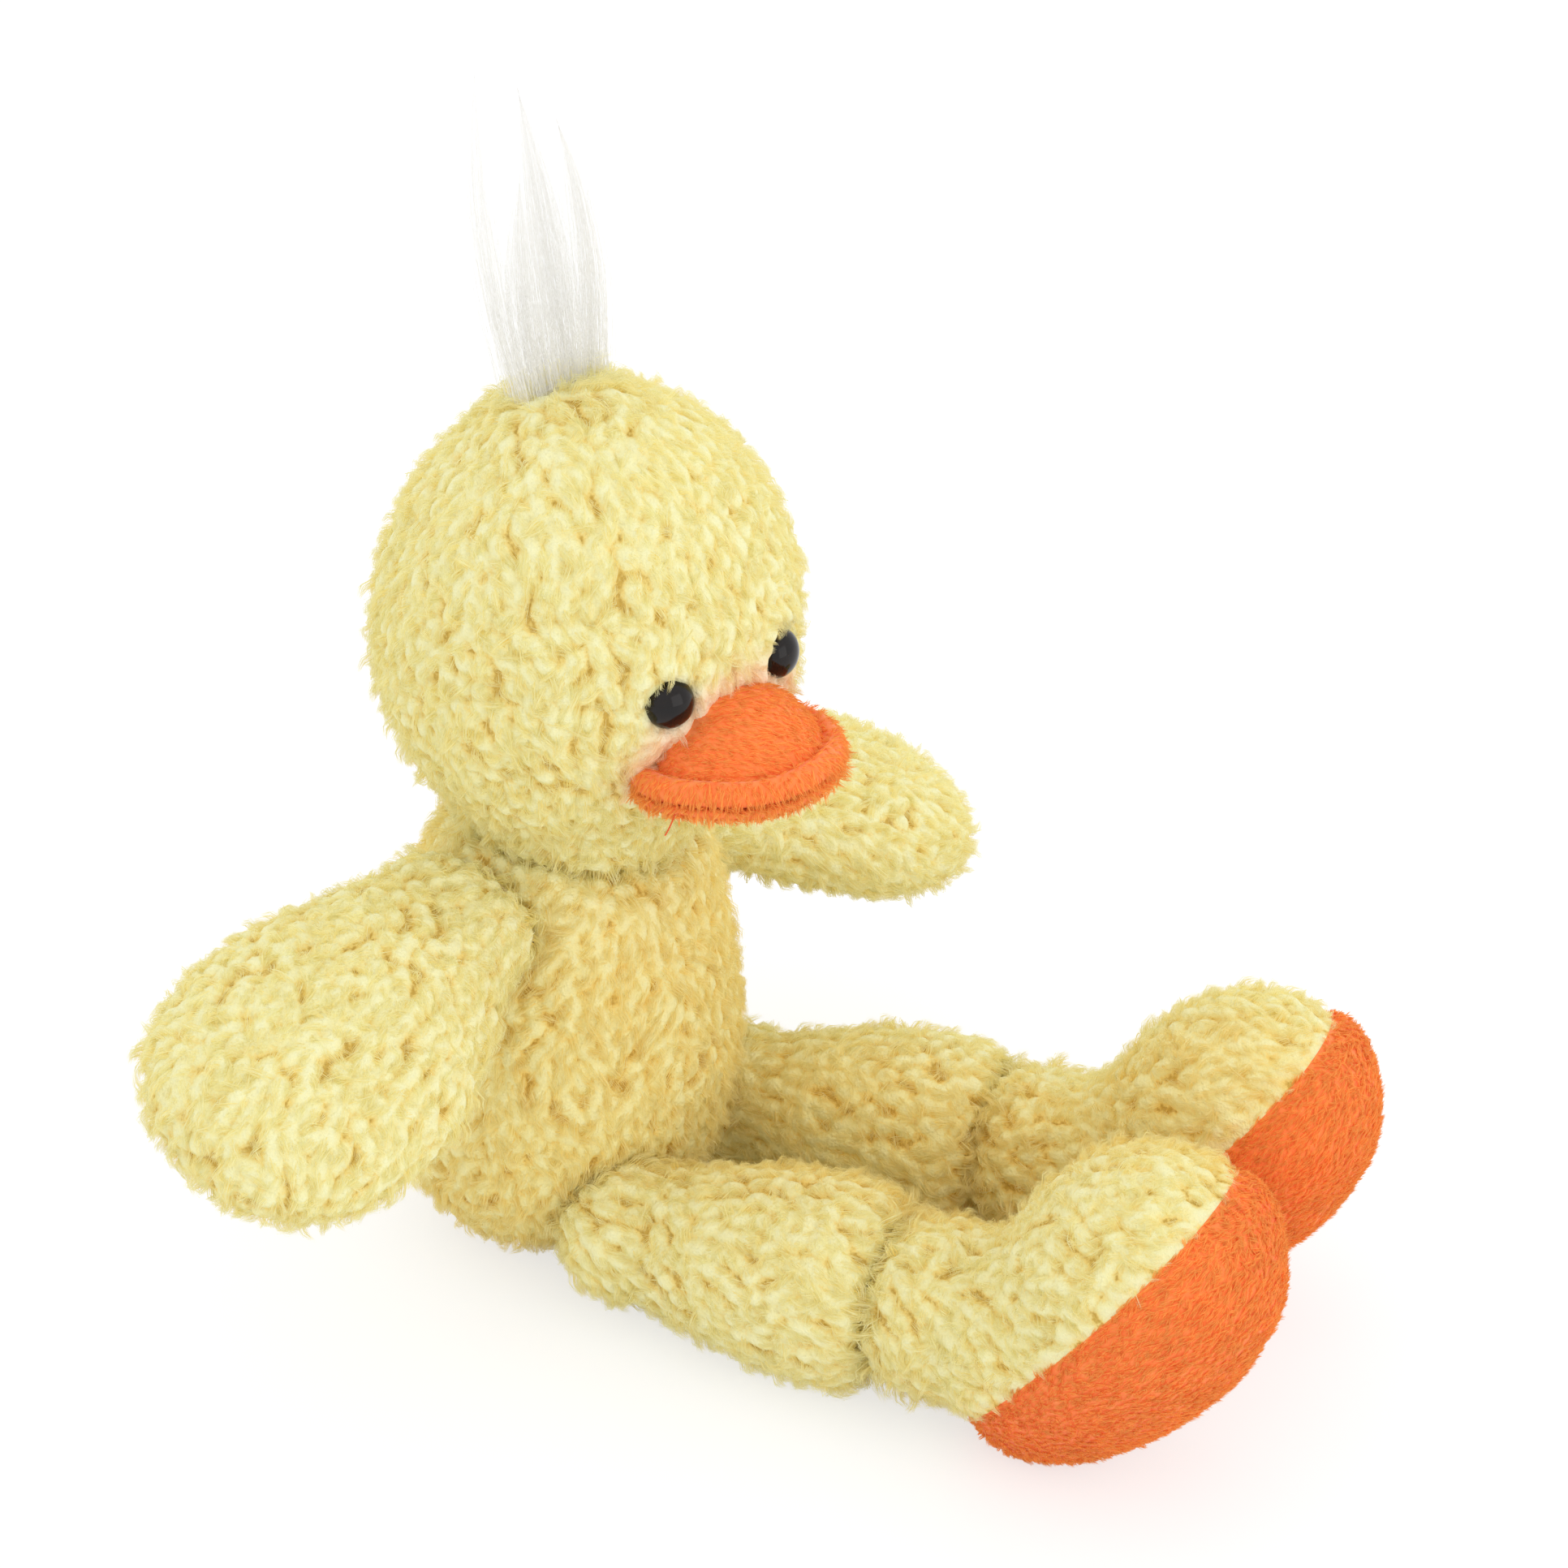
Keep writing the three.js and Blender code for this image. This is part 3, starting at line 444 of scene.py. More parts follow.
def growth(name, tufts, spacing, size, spread, lean, seed):
    tree = bpy.data.node_groups.new(name, "GeometryNodeTree")
    tree.interface.new_socket("Geometry", in_out="INPUT", socket_type="NodeSocketGeometry")
    tree.interface.new_socket("Geometry", in_out="OUTPUT", socket_type="NodeSocketGeometry")
    ground = put(tree, "NodeGroupInput").outputs[0]
    amount = put(tree, "GeometryNodeInputNamedAttribute", {"Name": "pileDensity"}, data_type="FLOAT").outputs[0]
    spots = put(tree, "GeometryNodeDistributePointsOnFaces", {
        "Mesh": ground, "Distance Min": spacing, "Density Max": 4 / spacing ** 2, "Density Factor": amount, "Seed": seed},
        distribute_method="POISSON")
    flow = put(tree, "GeometryNodeInputNamedAttribute", {"Name": "combFlow"}, data_type="FLOAT_VECTOR").outputs[0]
    stray = put(tree, "FunctionNodeRandomValue", {
        "Min": (-spread,) * 3, "Max": (spread,) * 3, "Seed": seed + 1}, data_type="FLOAT_VECTOR")
    combed = put(tree, "ShaderNodeVectorMath", {0: flow, 1: stray.outputs[0]}, operation="ADD").outputs[0]
    sway = put(tree, "FunctionNodeRandomValue", {
        "Min": (-lean,) * 3, "Max": (lean,) * 3, "Seed": seed + 2}, data_type="FLOAT_VECTOR")
    upright = put(tree, "ShaderNodeVectorMath", {0: spots.outputs["Normal"], 1: sway.outputs[0]}, operation="ADD").outputs[0]
    turned = put(tree, "FunctionNodeAxesToRotation", {
        "Primary Axis": upright, "Secondary Axis": combed}, primary_axis="Z", secondary_axis="X")
    scaled = put(tree, "FunctionNodeRandomValue", {
        "Min": (size[0],) * 3, "Max": (size[1],) * 3, "Seed": seed + 3}, data_type="FLOAT_VECTOR")
    tall = put(tree, "GeometryNodeInputNamedAttribute", {"Name": "pileLength"}, data_type="FLOAT").outputs[0]
    sized = put(tree, "ShaderNodeVectorMath", {0: scaled.outputs[0], "Scale": tall}, operation="SCALE").outputs[0]
    shapes = put(tree, "GeometryNodeCollectionInfo", {
        "Collection": tufts, "Separate Children": True, "Reset Children": True}).outputs[0]
    chosen = put(tree, "FunctionNodeRandomValue", {
        "Min": 0, "Max": len(tufts.objects) - 1, "Seed": seed + 4}, data_type="INT")
    chosenOut = next(socket for socket in chosen.outputs if socket.enabled)
    planted = put(tree, "GeometryNodeInstanceOnPoints", {
        "Points": spots.outputs["Points"], "Instance": shapes, "Pick Instance": True, "Instance Index": chosenOut,
        "Rotation": turned.outputs[0], "Scale": sized})
    shade = put(tree, "FunctionNodeRandomValue", {"Seed": seed + 5}, data_type="FLOAT")
    shadeOut = next(socket for socket in shade.outputs if socket.enabled)
    toned = put(tree, "GeometryNodeStoreNamedAttribute", {
        "Geometry": planted.outputs[0], "Name": "tuftTone", "Value": shadeOut}, data_type="FLOAT", domain="INSTANCE")
    real = put(tree, "GeometryNodeRealizeInstances", {"Geometry": toned.outputs[0]})
    put(tree, "NodeGroupOutput", {0: real.outputs[0]})
    return tree


def growPile(skin, name, paint, tufts, **settings):
    coat = skin.copy()
    coat.data = skin.data.copy()
    coat.name = coat.data.name = name
    scene.collection.objects.link(coat)
    grown = coat.modifiers.new("grown", "NODES")
    grown.node_group = growth(name + "Growth", tufts, **settings)
    applyModifiers(coat)
    places = points(coat)
    pressed = 0.5 * mm + 0.1 * np.minimum(places[:, 2], 0)  # fibres are pressed flat on the floor
    places[:, 2] = np.maximum(places[:, 2], np.maximum(0.1 * mm, pressed))
    setPoints(coat, places)
    coat.data.materials.clear()
    coat.data.materials.append(paint)
    return coat


def gapTo(piece, others):  # signed distance from each point to its neighbours
    places = points(piece)
    gap = np.full(len(places), 0.03)
    for other in others:
        tree = BVHTree.FromPolygons([v.co for v in other.data.vertices], [p.vertices for p in other.data.polygons])
        for i, place in enumerate(places):
            hit, normal, face, distance = tree.find_nearest(place, 0.03)
            if hit is not None:
                side = (Vector(place) - hit).dot(normal)
                gap[i] = min(gap[i], distance if side > 0 else -distance)
    return gap


# feet: the stuffed skin is parted at the seam between the upper and the sole
def seamPlane(side):
    rim = points(nodes["foot_" + side + "_sole"])
    upper = nodes["foot_" + side + "_upper"]
    tree = BVHTree.FromPolygons([v.co for v in upper.data.vertices], [p.vertices for p in upper.data.polygons])
    near = np.array([tree.find_nearest(p)[3] < 0.4 * mm for p in rim])
    centre = rim[near].mean(0)
    normal = np.linalg.svd(rim[near] - centre)[2][2]
    if normal @ (rim.mean(0) - centre) < 0:
        normal = -normal
    return centre, normal


def partFoot(side):
    skin = skins["foot_" + side]
    centre, normal = seamPlane(side)
    sole = skin.copy()
    sole.data = skin.data.copy()
    sole.name = sole.data.name = "foot_" + side + "_sole_skin"
    scene.collection.objects.link(sole)
    editAll(skin, bpy.ops.mesh.bisect, plane_co=centre, plane_no=normal, clear_outer=True, use_fill=False)
    editAll(sole, bpy.ops.mesh.bisect, plane_co=centre, plane_no=normal, clear_inner=True, use_fill=False)
    skin.name = skin.data.name = "foot_" + side + "_upper_skin"
    return sole, centre, normal


soles, seams = {}, {}
for side in ("left", "right"):
    soles[side], *seams[side] = partFoot(side)
print("feet parted at the sole seam")


# pile: where it grows, which way it is combed and how long it is
crown = middle("crest_tab")
eyes = [middle("eye_left"), middle("eye_right")]
bill = copyNodes("bill_probe", "bill_upper", "bill_stuffing")
neighbours = {
    "torso": ["head", "wing_left", "wing_right", "leg_left", "leg_right"], "head": ["torso"],
    "wing_left": ["torso"], "wing_right": ["torso"], "leg_left": ["torso", "foot_left"],
    "leg_right": ["torso", "foot_right"], "foot_left": ["leg_left"], "foot_right": ["leg_right"],
}
pileSettings = {"spacing": 2.35 * mm, "size": (0.5, 0.9), "spread": 0.8, "lean": 0.3}
pileSectors = {"torso": 2, "head": 2, "wing": 1, "leg": 1, "foot": 1}


# what changes with distance: its start, its change and the two distances between which it changes
densityFades = {
    "seam": (0, 1, -1.0 * mm, 0.8 * mm), "bill": (0, 1, 0.1 * mm, 0.8 * mm), "eye": (0, 1, 4.4 * mm, 5.4 * mm),
    "sole": (0.35, 0.65, 1.5 * mm, 5 * mm),
}
lengthFades = {
    "seam": (1.35, -0.35, 2 * mm, 8 * mm), "crest": (1.3, -0.3, 12 * mm, 24 * mm), "eye": (0.75, 0.25, 8 * mm, 22 * mm),
    "sole": (0.7, 0.3, 1 * mm, 6 * mm),
}
tintFades = {
    "belly": (0.8, -0.8, 95 * mm, 130 * mm), "innerLeg": (0.1, 0.7, -8 * mm, 16 * mm),
    "bill": (0.75, -0.75, 1.5 * mm, 9 * mm),
}


def eased(fade, distance):
    start, change, near, far = fade
    return start + change * smoothRamp(near, far, distance)


def flowOf(name, places):  # combed away from the root of each part, and a little down
    if name == "head":
        return unit(places - crown) + np.array([0, 0, -0.3])
    if name == "torso":
        return np.tile([0.0, 0.0, -1.0], (len(places), 1))
    side = name.split("_")[1]
    if name.startswith("wing"):
        outOf = unit(middle(name + "_cover") - jointPlace(name + "_lift"))
        return np.tile(outOf, (len(places), 1)) + np.array([0, 0, -0.3])
    if name.startswith("leg"):
        outOf = unit(jointPlace("ankle_" + side) - jointPlace("hip_" + side))
        return np.tile(outOf, (len(places), 1)) + np.array([0, 0, -0.25])
    return unit(places - jointPlace("ankle_" + side)) + 0.6 * seams[side][1]


def wornShadeOf(name, places):  # deeper gold on the belly and on the inner sides of the legs: partly wear, and partly painted shade under the head and between the legs
    if name == "torso":
        return eased(tintFades["belly"], places[:, 2])
    if name.startswith(("leg", "foot")):
        inward = (places[:, 0].mean() - places[:, 0]) * (1 if "left" in name else -1)
        return eased(tintFades["innerLeg"], inward)
    return np.zeros(len(places))


swirlSettings = {"wide": 14 * mm, "wideShare": 1.0, "close": 5 * mm, "closeShare": 0.7, "seed": 1}
noise.seed_set(swirlSettings["seed"])  # the noise starts from the clock otherwise


def swirl(places):  # neighbouring locks turn together, in whorls of two sizes
    wide = [noise.noise_vector(Vector(place) / swirlSettings["wide"]) for place in places]
    close = [noise.noise_vector(Vector(place) / swirlSettings["close"]) for place in places]
    return np.array(wide) * swirlSettings["wideShare"] + np.array(close) * swirlSettings["closeShare"]


# bunches: the pile swells in close bunches, so each skin is raised between creases
bunchSettings = {
    "spacing": 4.4 * mm, "height": 2.0 * mm, "stretch": 0.55, "reach": 0.72, "level": 0.45, "asked": 6, "seamFade": 4 * mm,
    "collar": (1.6 * mm, 13 * mm, 6 * mm), "eyeRing": (1.7 * mm, 8.5 * mm, 2.4 * mm),  # height, distance and width
}


def ringOf(places, centre, ring):  # a raised ring round an eye or the crest's root
    height, distance, width = ring
    return height * np.exp(-((np.linalg.norm(places - centre, axis=1) - distance) / width) ** 2)


def bunch(name, skin, seed):
    fine = skin.modifiers.new("fine", "SUBSURF")
    fine.levels = fine.render_levels = 1
    applyModifiers(skin)
    places, normals = points(skin), outward(skin)
    rng = np.random.default_rng(seed)
    tops, spacing = [], bunchSettings["spacing"]
    cells, aside = {}, list(itertools.product((-1, 0, 1), repeat=3))
    for i in rng.permutation(len(places)):  # bunches stand at even distances
        cell = tuple(np.floor(places[i] / spacing).astype(int))
        close = (cells.get((cell[0] + a, cell[1] + b, cell[2] + c), ()) for a, b, c in aside)
        if all(np.linalg.norm(places[i] - places[j]) > spacing for near in close for j in near):
            cells.setdefault(cell, []).append(i)
            tops.append(i)
    tree = KDTree(len(tops))
    for order, i in enumerate(tops):
        tree.insert(places[i], order)
    tree.balance()
    tops = np.array(tops)
    nearest = np.array([[found[1] for found in tree.find_n(place, bunchSettings["asked"])] for place in places])
    heading = unit(unit(flowOf(name, places)) + swirl(places))[tops]
    offset = places[:, None] - places[tops][nearest]
    along = (offset * heading[nearest]).sum(2)
    reach = np.sqrt(((offset ** 2).sum(2) - (1 - bunchSettings["stretch"] ** 2) * along ** 2).clip(0).min(1))
    shade = (1 - (reach / (bunchSettings["reach"] * spacing)) ** 2).clip(0)
    height = bunchSettings["height"] * (shade - bunchSettings["level"])
    if name.startswith("foot"):
        centre, normal = seams[name.split("_")[1]]
        height *= smoothRamp(0, bunchSettings["seamFade"], -(places - centre) @ normal)
    if name == "head":  # the pile stands round the crest's root and round the eyes
        height += ringOf(places, crown, bunchSettings["collar"])
        for eye in eyes:
            height += ringOf(places, eye, bunchSettings["eyeRing"])
    places = places + normals * height[:, None]
    places[:, 2] = np.maximum(places[:, 2], floorGap)
    setPoints(skin, places)
    # painted shade: the creases between bunches are stored low, to be painted darker gold
    field(skin, "bunchShade", "FLOAT", shade)


for number, name in enumerate(skinNames):
    bunch(name, skins[name], 60 + number)
print("skins bunched", {name: len(skin.data.polygons) for name, skin in skins.items()})

billTree = BVHTree.FromPolygons([v.co for v in bill.data.vertices], [p.vertices for p in bill.data.polygons])


def nearBill(places):  # distance to the bill, and whether a point lies inside it
    hits = [billTree.find_nearest(place) for place in places]
    inside = [(Vector(place) - hit[0]).dot(hit[1]) < 0 for place, hit in zip(places, hits)]
    return np.array([hit[3] for hit in hits]), np.array(inside)


pileCounts = {}
for number, name in enumerate(skinNames):
    skin = skins[name]
    places = points(skin)
    blush = np.zeros(len(places))
    gap = gapTo(skin, [skins[other] for other in neighbours[name]])
    density = eased(densityFades["seam"], gap)
    length = eased(lengthFades["seam"], gap)
    if name == "head":
        billGap, inside = nearBill(places)
        blush = eased(tintFades["bill"], billGap)
        density *= np.where(inside, 0, eased(densityFades["bill"], billGap))
        length *= eased(lengthFades["crest"], np.linalg.norm(places - crown, axis=1))
        for eye in eyes:
            away = np.linalg.norm(places - eye, axis=1)
            density *= eased(densityFades["eye"], away)
            length *= eased(lengthFades["eye"], away)
    if name.startswith("foot"):
        centre, normal = seams[name.split("_")[1]]
        off = -(places - centre) @ normal
        density *= eased(densityFades["sole"], off)
        length *= eased(lengthFades["sole"], off)
    field(skin, "combFlow", "FLOAT_VECTOR", unit(flowOf(name, places)) + swirl(places))
    field(skin, "pileLength", "FLOAT", length)
    # partly wear and partly painted shade: deeper gold on the belly and the inner sides of the legs
    field(skin, "pileWarm", "FLOAT", wornShadeOf(name, places))
    field(skin, "pileBlush", "FLOAT", blush)
    around = places - places.mean(0)
    sectors = pileSectors[name.split("_")[0]]
    sector = np.floor((np.arctan2(around[:, 1], around[:, 0]) / math.pi + 1) / 2 * sectors)
    piles = []
    for part in range(sectors):  # the larger coats are grown in sectors
        field(skin, "pileDensity", "FLOAT", density * (np.minimum(sector, sectors - 1) == part))
        ending = "_pile" if sectors == 1 else "_pile_" + str(part + 1)
        piles.append(growPile(skin, name + ending, pilePaint, pileTufts, seed=10 * number + 3 + part, **pileSettings))
    for piece in piles:
        for spare in ("combFlow", "pileDensity", "pileLength", "bunchShade"):
            if spare in piece.data.attributes:
                piece.data.attributes.remove(piece.data.attributes[spare])
    pileCounts[name] = [sum(len(face.vertices) - 2 for face in piece.data.polygons) for piece in piles]
    skin.data.materials.clear()
    skin.data.materials.append(bunched)
    cover = name + ("_upper" if name.startswith("foot") else "_cover")
    for piece in (skin, *piles):
        finishPiece(piece, name, "curly_pile", cover, name + "_stuffing")
print("pile grown", pileCounts)


# soles: short orange nap combed towards the toes
soleSettings = {"crown": 1.2 * mm, "fade": 6 * mm}
napSettings = {"spacing": 0.8 * mm, "size": (0.8, 1.2), "spread": 0.45, "lean": 0.3}
for number, side in enumerate(("left", "right")):
    sole = soles[side]
    centre, normal = seams[side]
    places = points(sole)
    raised = soleSettings["crown"] * smoothRamp(0, soleSettings["fade"], (places - centre) @ normal)
    places = places + outward(sole) * raised[:, None]
    places[:, 2] = np.maximum(places[:, 2], floorGap)
    setPoints(sole, places)
    field(sole, "pileDensity", "FLOAT", np.ones(len(places)))
    field(sole, "pileLength", "FLOAT", np.ones(len(places)))
    field(sole, "combFlow", "FLOAT_VECTOR", np.tile(unit(np.array([0, 0, 1.0]) + 0.6 * normal), (len(places), 1)))
    nap = growPile(sole, "foot_" + side + "_sole_nap", napPaint, napTufts, seed=200 + 10 * number, **napSettings)
    sole.data.materials.clear()
    sole.data.materials.append(napGround)
    for piece in (sole, nap):
        finishPiece(piece, "foot_" + side, "short_nap", "foot_" + side + "_sole")
print("soles covered")


# bill: a domed upper with its rolled lip over the lower bill, both spun from a profile and drawn to an oval
billSettings = {
    "half": 25.0 * mm, "reach": 24.0 * mm, "tilt": 8.0, "steps": 72, "gathers": 34, "lipOut": 1.035,
    "upper": [  # share of the oval and height in mm: the dome, the crease, the rolled lip and the flat underside
        (0, 19.4), (0.16, 19.1), (0.32, 18.0), (0.46, 16.2), (0.58, 13.8), (0.68, 11.0), (0.76, 8.0), (0.81, 5.6),
        (0.835, 4.5), (0.86, 4.8), (0.90, 5.6), (0.95, 5.8), (1.0, 5.0), (1.03, 3.8), (1.045, 2.4), (1.045, 1.1),
        (1.02, 0.2), (0.96, -0.1), (0.5, -0.1), (0, -0.1)],
    "lower": [
        (0, -0.3), (0.5, -0.3), (0.96, -0.25), (1.02, -0.35), (1.035, -1.2), (1.015, -2.4), (0.96, -3.5), (0.85, -4.4),
        (0.7, -4.9), (0.4, -5.3), (0, -5.4)],
}
billNap = {"spacing": 1.0 * mm, "size": (0.8, 1.25), "spread": 0.35, "lean": 0.25}
sideways = unit(np.array(joints["neck_nod"]["axis"]))
ahead = np.cross(np.array([0, 0, 1.0]), sideways) * -1
lift = math.radians(billSettings["tilt"])
billOut = ahead * math.cos(lift) + np.array([0, 0, math.sin(lift)])
billUp = np.cross(billOut, sideways)
billUp *= np.sign(billUp[2])
billCad = points(nodes["bill_upper"])
billMid = sideways * ((billCad @ sideways).max() + (billCad @ sideways).min()) / 2
billMid = billMid + billOut * ((billCad @ billOut).max() - billSettings["lipOut"] * billSettings["reach"])
billMid = billMid + billUp * (points(nodes["bill_lower"]) @ billUp).max()
billRows = zip(np.array([sideways, billOut, billUp]).T.tolist(), billMid.tolist())
billTurn = Matrix([[*row, place] for row, place in billRows] + [[0, 0, 0, 1]])


def spinBill(name, profile):  # its points and faces have a fixed order, so that the nap is the same each run
    steps, rings = billSettings["steps"], len(profile) - 2
    turns = [-2 * math.pi * step / steps for step in range(steps)]  # billTurn mirrors them, so the faces look outward
    corners = [(0, 0, profile[0][1] * mm), (0, 0, profile[-1][1] * mm)]
    for share, height in profile[1:-1]:
        corners += [(share * math.cos(turn), share * math.sin(turn), height * mm) for turn in turns]
    faces, lastRing = [], 2 + (rings - 1) * steps
    for step in range(steps):
        after = (step + 1) % steps
        faces.append((0, 2 + step, 2 + after))
        for ring in range(2, lastRing, steps):
            faces.append((ring + step, ring + steps + step, ring + steps + after, ring + after))
        faces.append((lastRing + step, 1, lastRing + after))
    mesh = bpy.data.meshes.new(name)
    mesh.from_pydata(corners, [], faces)
    piece = bpy.data.objects.new(name, mesh)
    scene.collection.objects.link(piece)
    places = points(piece)
    turn = np.arctan2(places[:, 0], places[:, 1])
    share = np.hypot(places[:, 0], places[:, 1])
    waves = 0.006 * np.sin(billSettings["gathers"] * turn) + 0.008 * np.sin(7 * turn + 1.3)
    pucker = 1 + smoothRamp(0.85, 1, share) * waves
    places[:, :2] *= pucker[:, None]
    places[:, 2] += mm * 0.35 * np.sin(5 * turn + 0.6) * smoothRamp(0.5, 0.95, share)
    setPoints(piece, places * np.array([billSettings["half"], billSettings["reach"], 1]))
    piece.data.transform(billTurn)
    fine = piece.modifiers.new("fine", "SUBSURF")
    fine.levels = fine.render_levels = 1
    applyModifiers(piece)
    editAll(piece, bpy.ops.mesh.normals_make_consistent, inside=False)
    bpy.ops.object.shade_smooth()
    return piece


bpy.data.objects.remove(bill)
billSources = {"bill_upper": ("bill_upper", "bill_stuffing"), "bill_lower": ("bill_lower",)}
for number, (name, sources) in enumerate(billSources.items()):
    skin = spinBill(name + "_skin", billSettings[name.split("_")[1]])
    places = points(skin)
    fromMid = places - billMid
    level = fromMid @ billUp
    field(skin, "pileDensity", "FLOAT", smoothRamp(-1 * mm, 0.5 * mm, gapTo(skin, [skins["head"]])))
    field(skin, "pileLength", "FLOAT", 0.95 + 0.35 * (1 - smoothRamp(0.3 * mm, 1.5 * mm, np.abs(level))))
    oval = np.hypot(fromMid @ sideways / billSettings["half"], fromMid @ billOut / billSettings["reach"])
    lip = smoothRamp(0.84, 0.9, oval)[:, None]
    field(skin, "combFlow", "FLOAT_VECTOR", (1 - lip) * (billOut + 0.5 * sideways) + lip * (unit(fromMid) * 0.3 - billUp))
    nap = growPile(skin, name + "_nap", napPaint, napTufts, seed=300 + 10 * number, **billNap)
    skin.data.materials.clear()
    skin.data.materials.append(napGround)
    for piece in (skin, nap):
        finishPiece(piece, "head", "short_nap", *sources)
print("bill covered")


# a loose end of thread hangs from the bill's near corner
endSettings = {
    "radius": 0.2 * mm, "drop": (-3.2 * mm, 0.9 * mm, -4.2 * mm), "bow": (-0.8 * mm, -0.3 * mm, 0), "steps": 6,
    "forward": 14.0, "outside": 1.06, "below": 1.5 * mm,
}
cornerTurn = math.radians(endSettings["forward"])
cornerReach = billOut * endSettings["outside"] * billSettings["reach"] * math.sin(cornerTurn) - billUp * endSettings["below"]
cornerSide = sideways * endSettings["outside"] * billSettings["half"] * math.cos(cornerTurn)
nearCorner = min((billMid + cornerReach + cornerSide * way for way in (-1, 1)), key=lambda place: place[0])
looseEnd = bpy.data.curves.new("bill_thread_end", "CURVE")
looseEnd.dimensions = "3D"
looseEnd.bevel_depth = endSettings["radius"]
looseEnd.bevel_resolution = 1
spline = looseEnd.splines.new("POLY")
spline.points.add(endSettings["steps"] - 1)
for step in range(endSettings["steps"]):
    share = step / (endSettings["steps"] - 1)
    bent = np.array(endSettings["bow"]) * math.sin(math.pi * share)
    spline.points[step].co = (*(nearCorner + np.array(endSettings["drop"]) * share + bent), 1)
looseEnd = bpy.data.objects.new("bill_thread_end", looseEnd)
scene.collection.objects.link(looseEnd)
pick(looseEnd)
bpy.ops.object.convert(target="MESH")
looseEnd = bpy.context.object
bpy.ops.object.shade_smooth()
looseEnd.data.materials.clear()
looseEnd.data.materials.append(threadPaint("billThread", (0.80, 0.09, 0.02), (1.0, 0.20, 0.05), 1400.0))
finishPiece(looseEnd, "head", "sewing_thread")
print("loose thread end hung")


# eyes: polished domes on their shanks
eyeSettings = {"radius": 6.0 * mm, "dome": 4.8 * mm, "edge": 0.5 * mm, "shank": 2.0 * mm, "shankLength": 9.0 * mm}
eyeBlack = eyePaint()
for side in ("left", "right"):
    onAxis = middle("eye_washer_" + side)
    axis = np.linalg.svd(points(nodes["eye_washer_" + side]) - onAxis)[2][2]  # the washer is a flat ring round the axis
    axis *= np.sign(axis @ (onAxis - middle("head_stuffing")))
    places = points(nodes["eye_" + side])
    top = ((places - onAxis) @ axis).max()
    back = onAxis + axis * (top - eyeSettings["dome"])
    bpy.ops.object.select_all(action="DESELECT")
    bpy.ops.mesh.primitive_uv_sphere_add(segments=48, ring_count=24, radius=1)
    eye = bpy.context.object
    eye.name = eye.data.name = "eye_" + side + "_dome"
    bpy.ops.object.mode_set(mode="EDIT")
    bpy.ops.mesh.select_all(action="SELECT")
    bpy.ops.transform.resize(value=(eyeSettings["radius"], eyeSettings["radius"], eyeSettings["dome"]))
    bpy.ops.mesh.bisect(plane_co=(0, 0, -eyeSettings["edge"]), plane_no=(0, 0, 1), clear_inner=True, use_fill=True)
    bpy.ops.object.mode_set(mode="OBJECT")
    bpy.ops.mesh.primitive_cylinder_add(
        vertices=24, radius=eyeSettings["shank"], depth=eyeSettings["shankLength"],
        location=(0, 0, -eyeSettings["shankLength"] / 2))
    shank = bpy.context.object
    pick(eye)
    shank.select_set(True)
    bpy.ops.object.join()
    turn = Vector((0, 0, 1)).rotation_difference(Vector(axis)).to_matrix().to_4x4()
    eye.data.transform(Matrix.Translation(Vector(back)) @ turn)
    pick(eye)
    bpy.ops.object.shade_smooth_by_angle(angle=math.radians(50))
    eye.data.materials.clear()
    eye.data.materials.append(eyeBlack)
    finishPiece(eye, "head", "eye_plastic", "eye_" + side)
print("eyes set")


# crest: long straight hair in pointed locks, fanned as the CAD locks are
crestSettings = {
    "strands": 900, "radius": 0.032 * mm, "half": (14.5 * mm, 4.0 * mm), "locks": 4, "steps": 8, "stray": 1.4 * mm,
    "strayShare": 0.22, "strayMore": 5, "shortest": 0.64, "spanOfLengths": 0.41, "apart": 3.5, "taper": 0.8,
}
locks = points(nodes["crest_locks"])
tips, apart = [], math.cos(math.radians(crestSettings["apart"]))
for place in locks[np.argsort(-locks[:, 2])]:
    heading = unit(place - crown)
    if len(tips) < crestSettings["locks"] and all(heading @ unit(tip - crown) < apart for tip in tips):
        tips.append(place)
tips = np.array(tips)
print("crest tips", np.round(tips * 1000, 1).tolist())
rng = np.random.default_rng(5)
hair = bpy.data.curves.new("crest_hair", "CURVE")
hair.dimensions = "3D"
hair.bevel_depth = crestSettings["radius"]
hair.bevel_resolution = 0
hair.resolution_u = 1
crestBase = locks[locks[:, 2] < locks[:, 2].min() + 4 * mm].mean(0)
backward = np.cross(np.array([0, 0, 1.0]), sideways)
tipAcross = (tips - crestBase) @ sideways
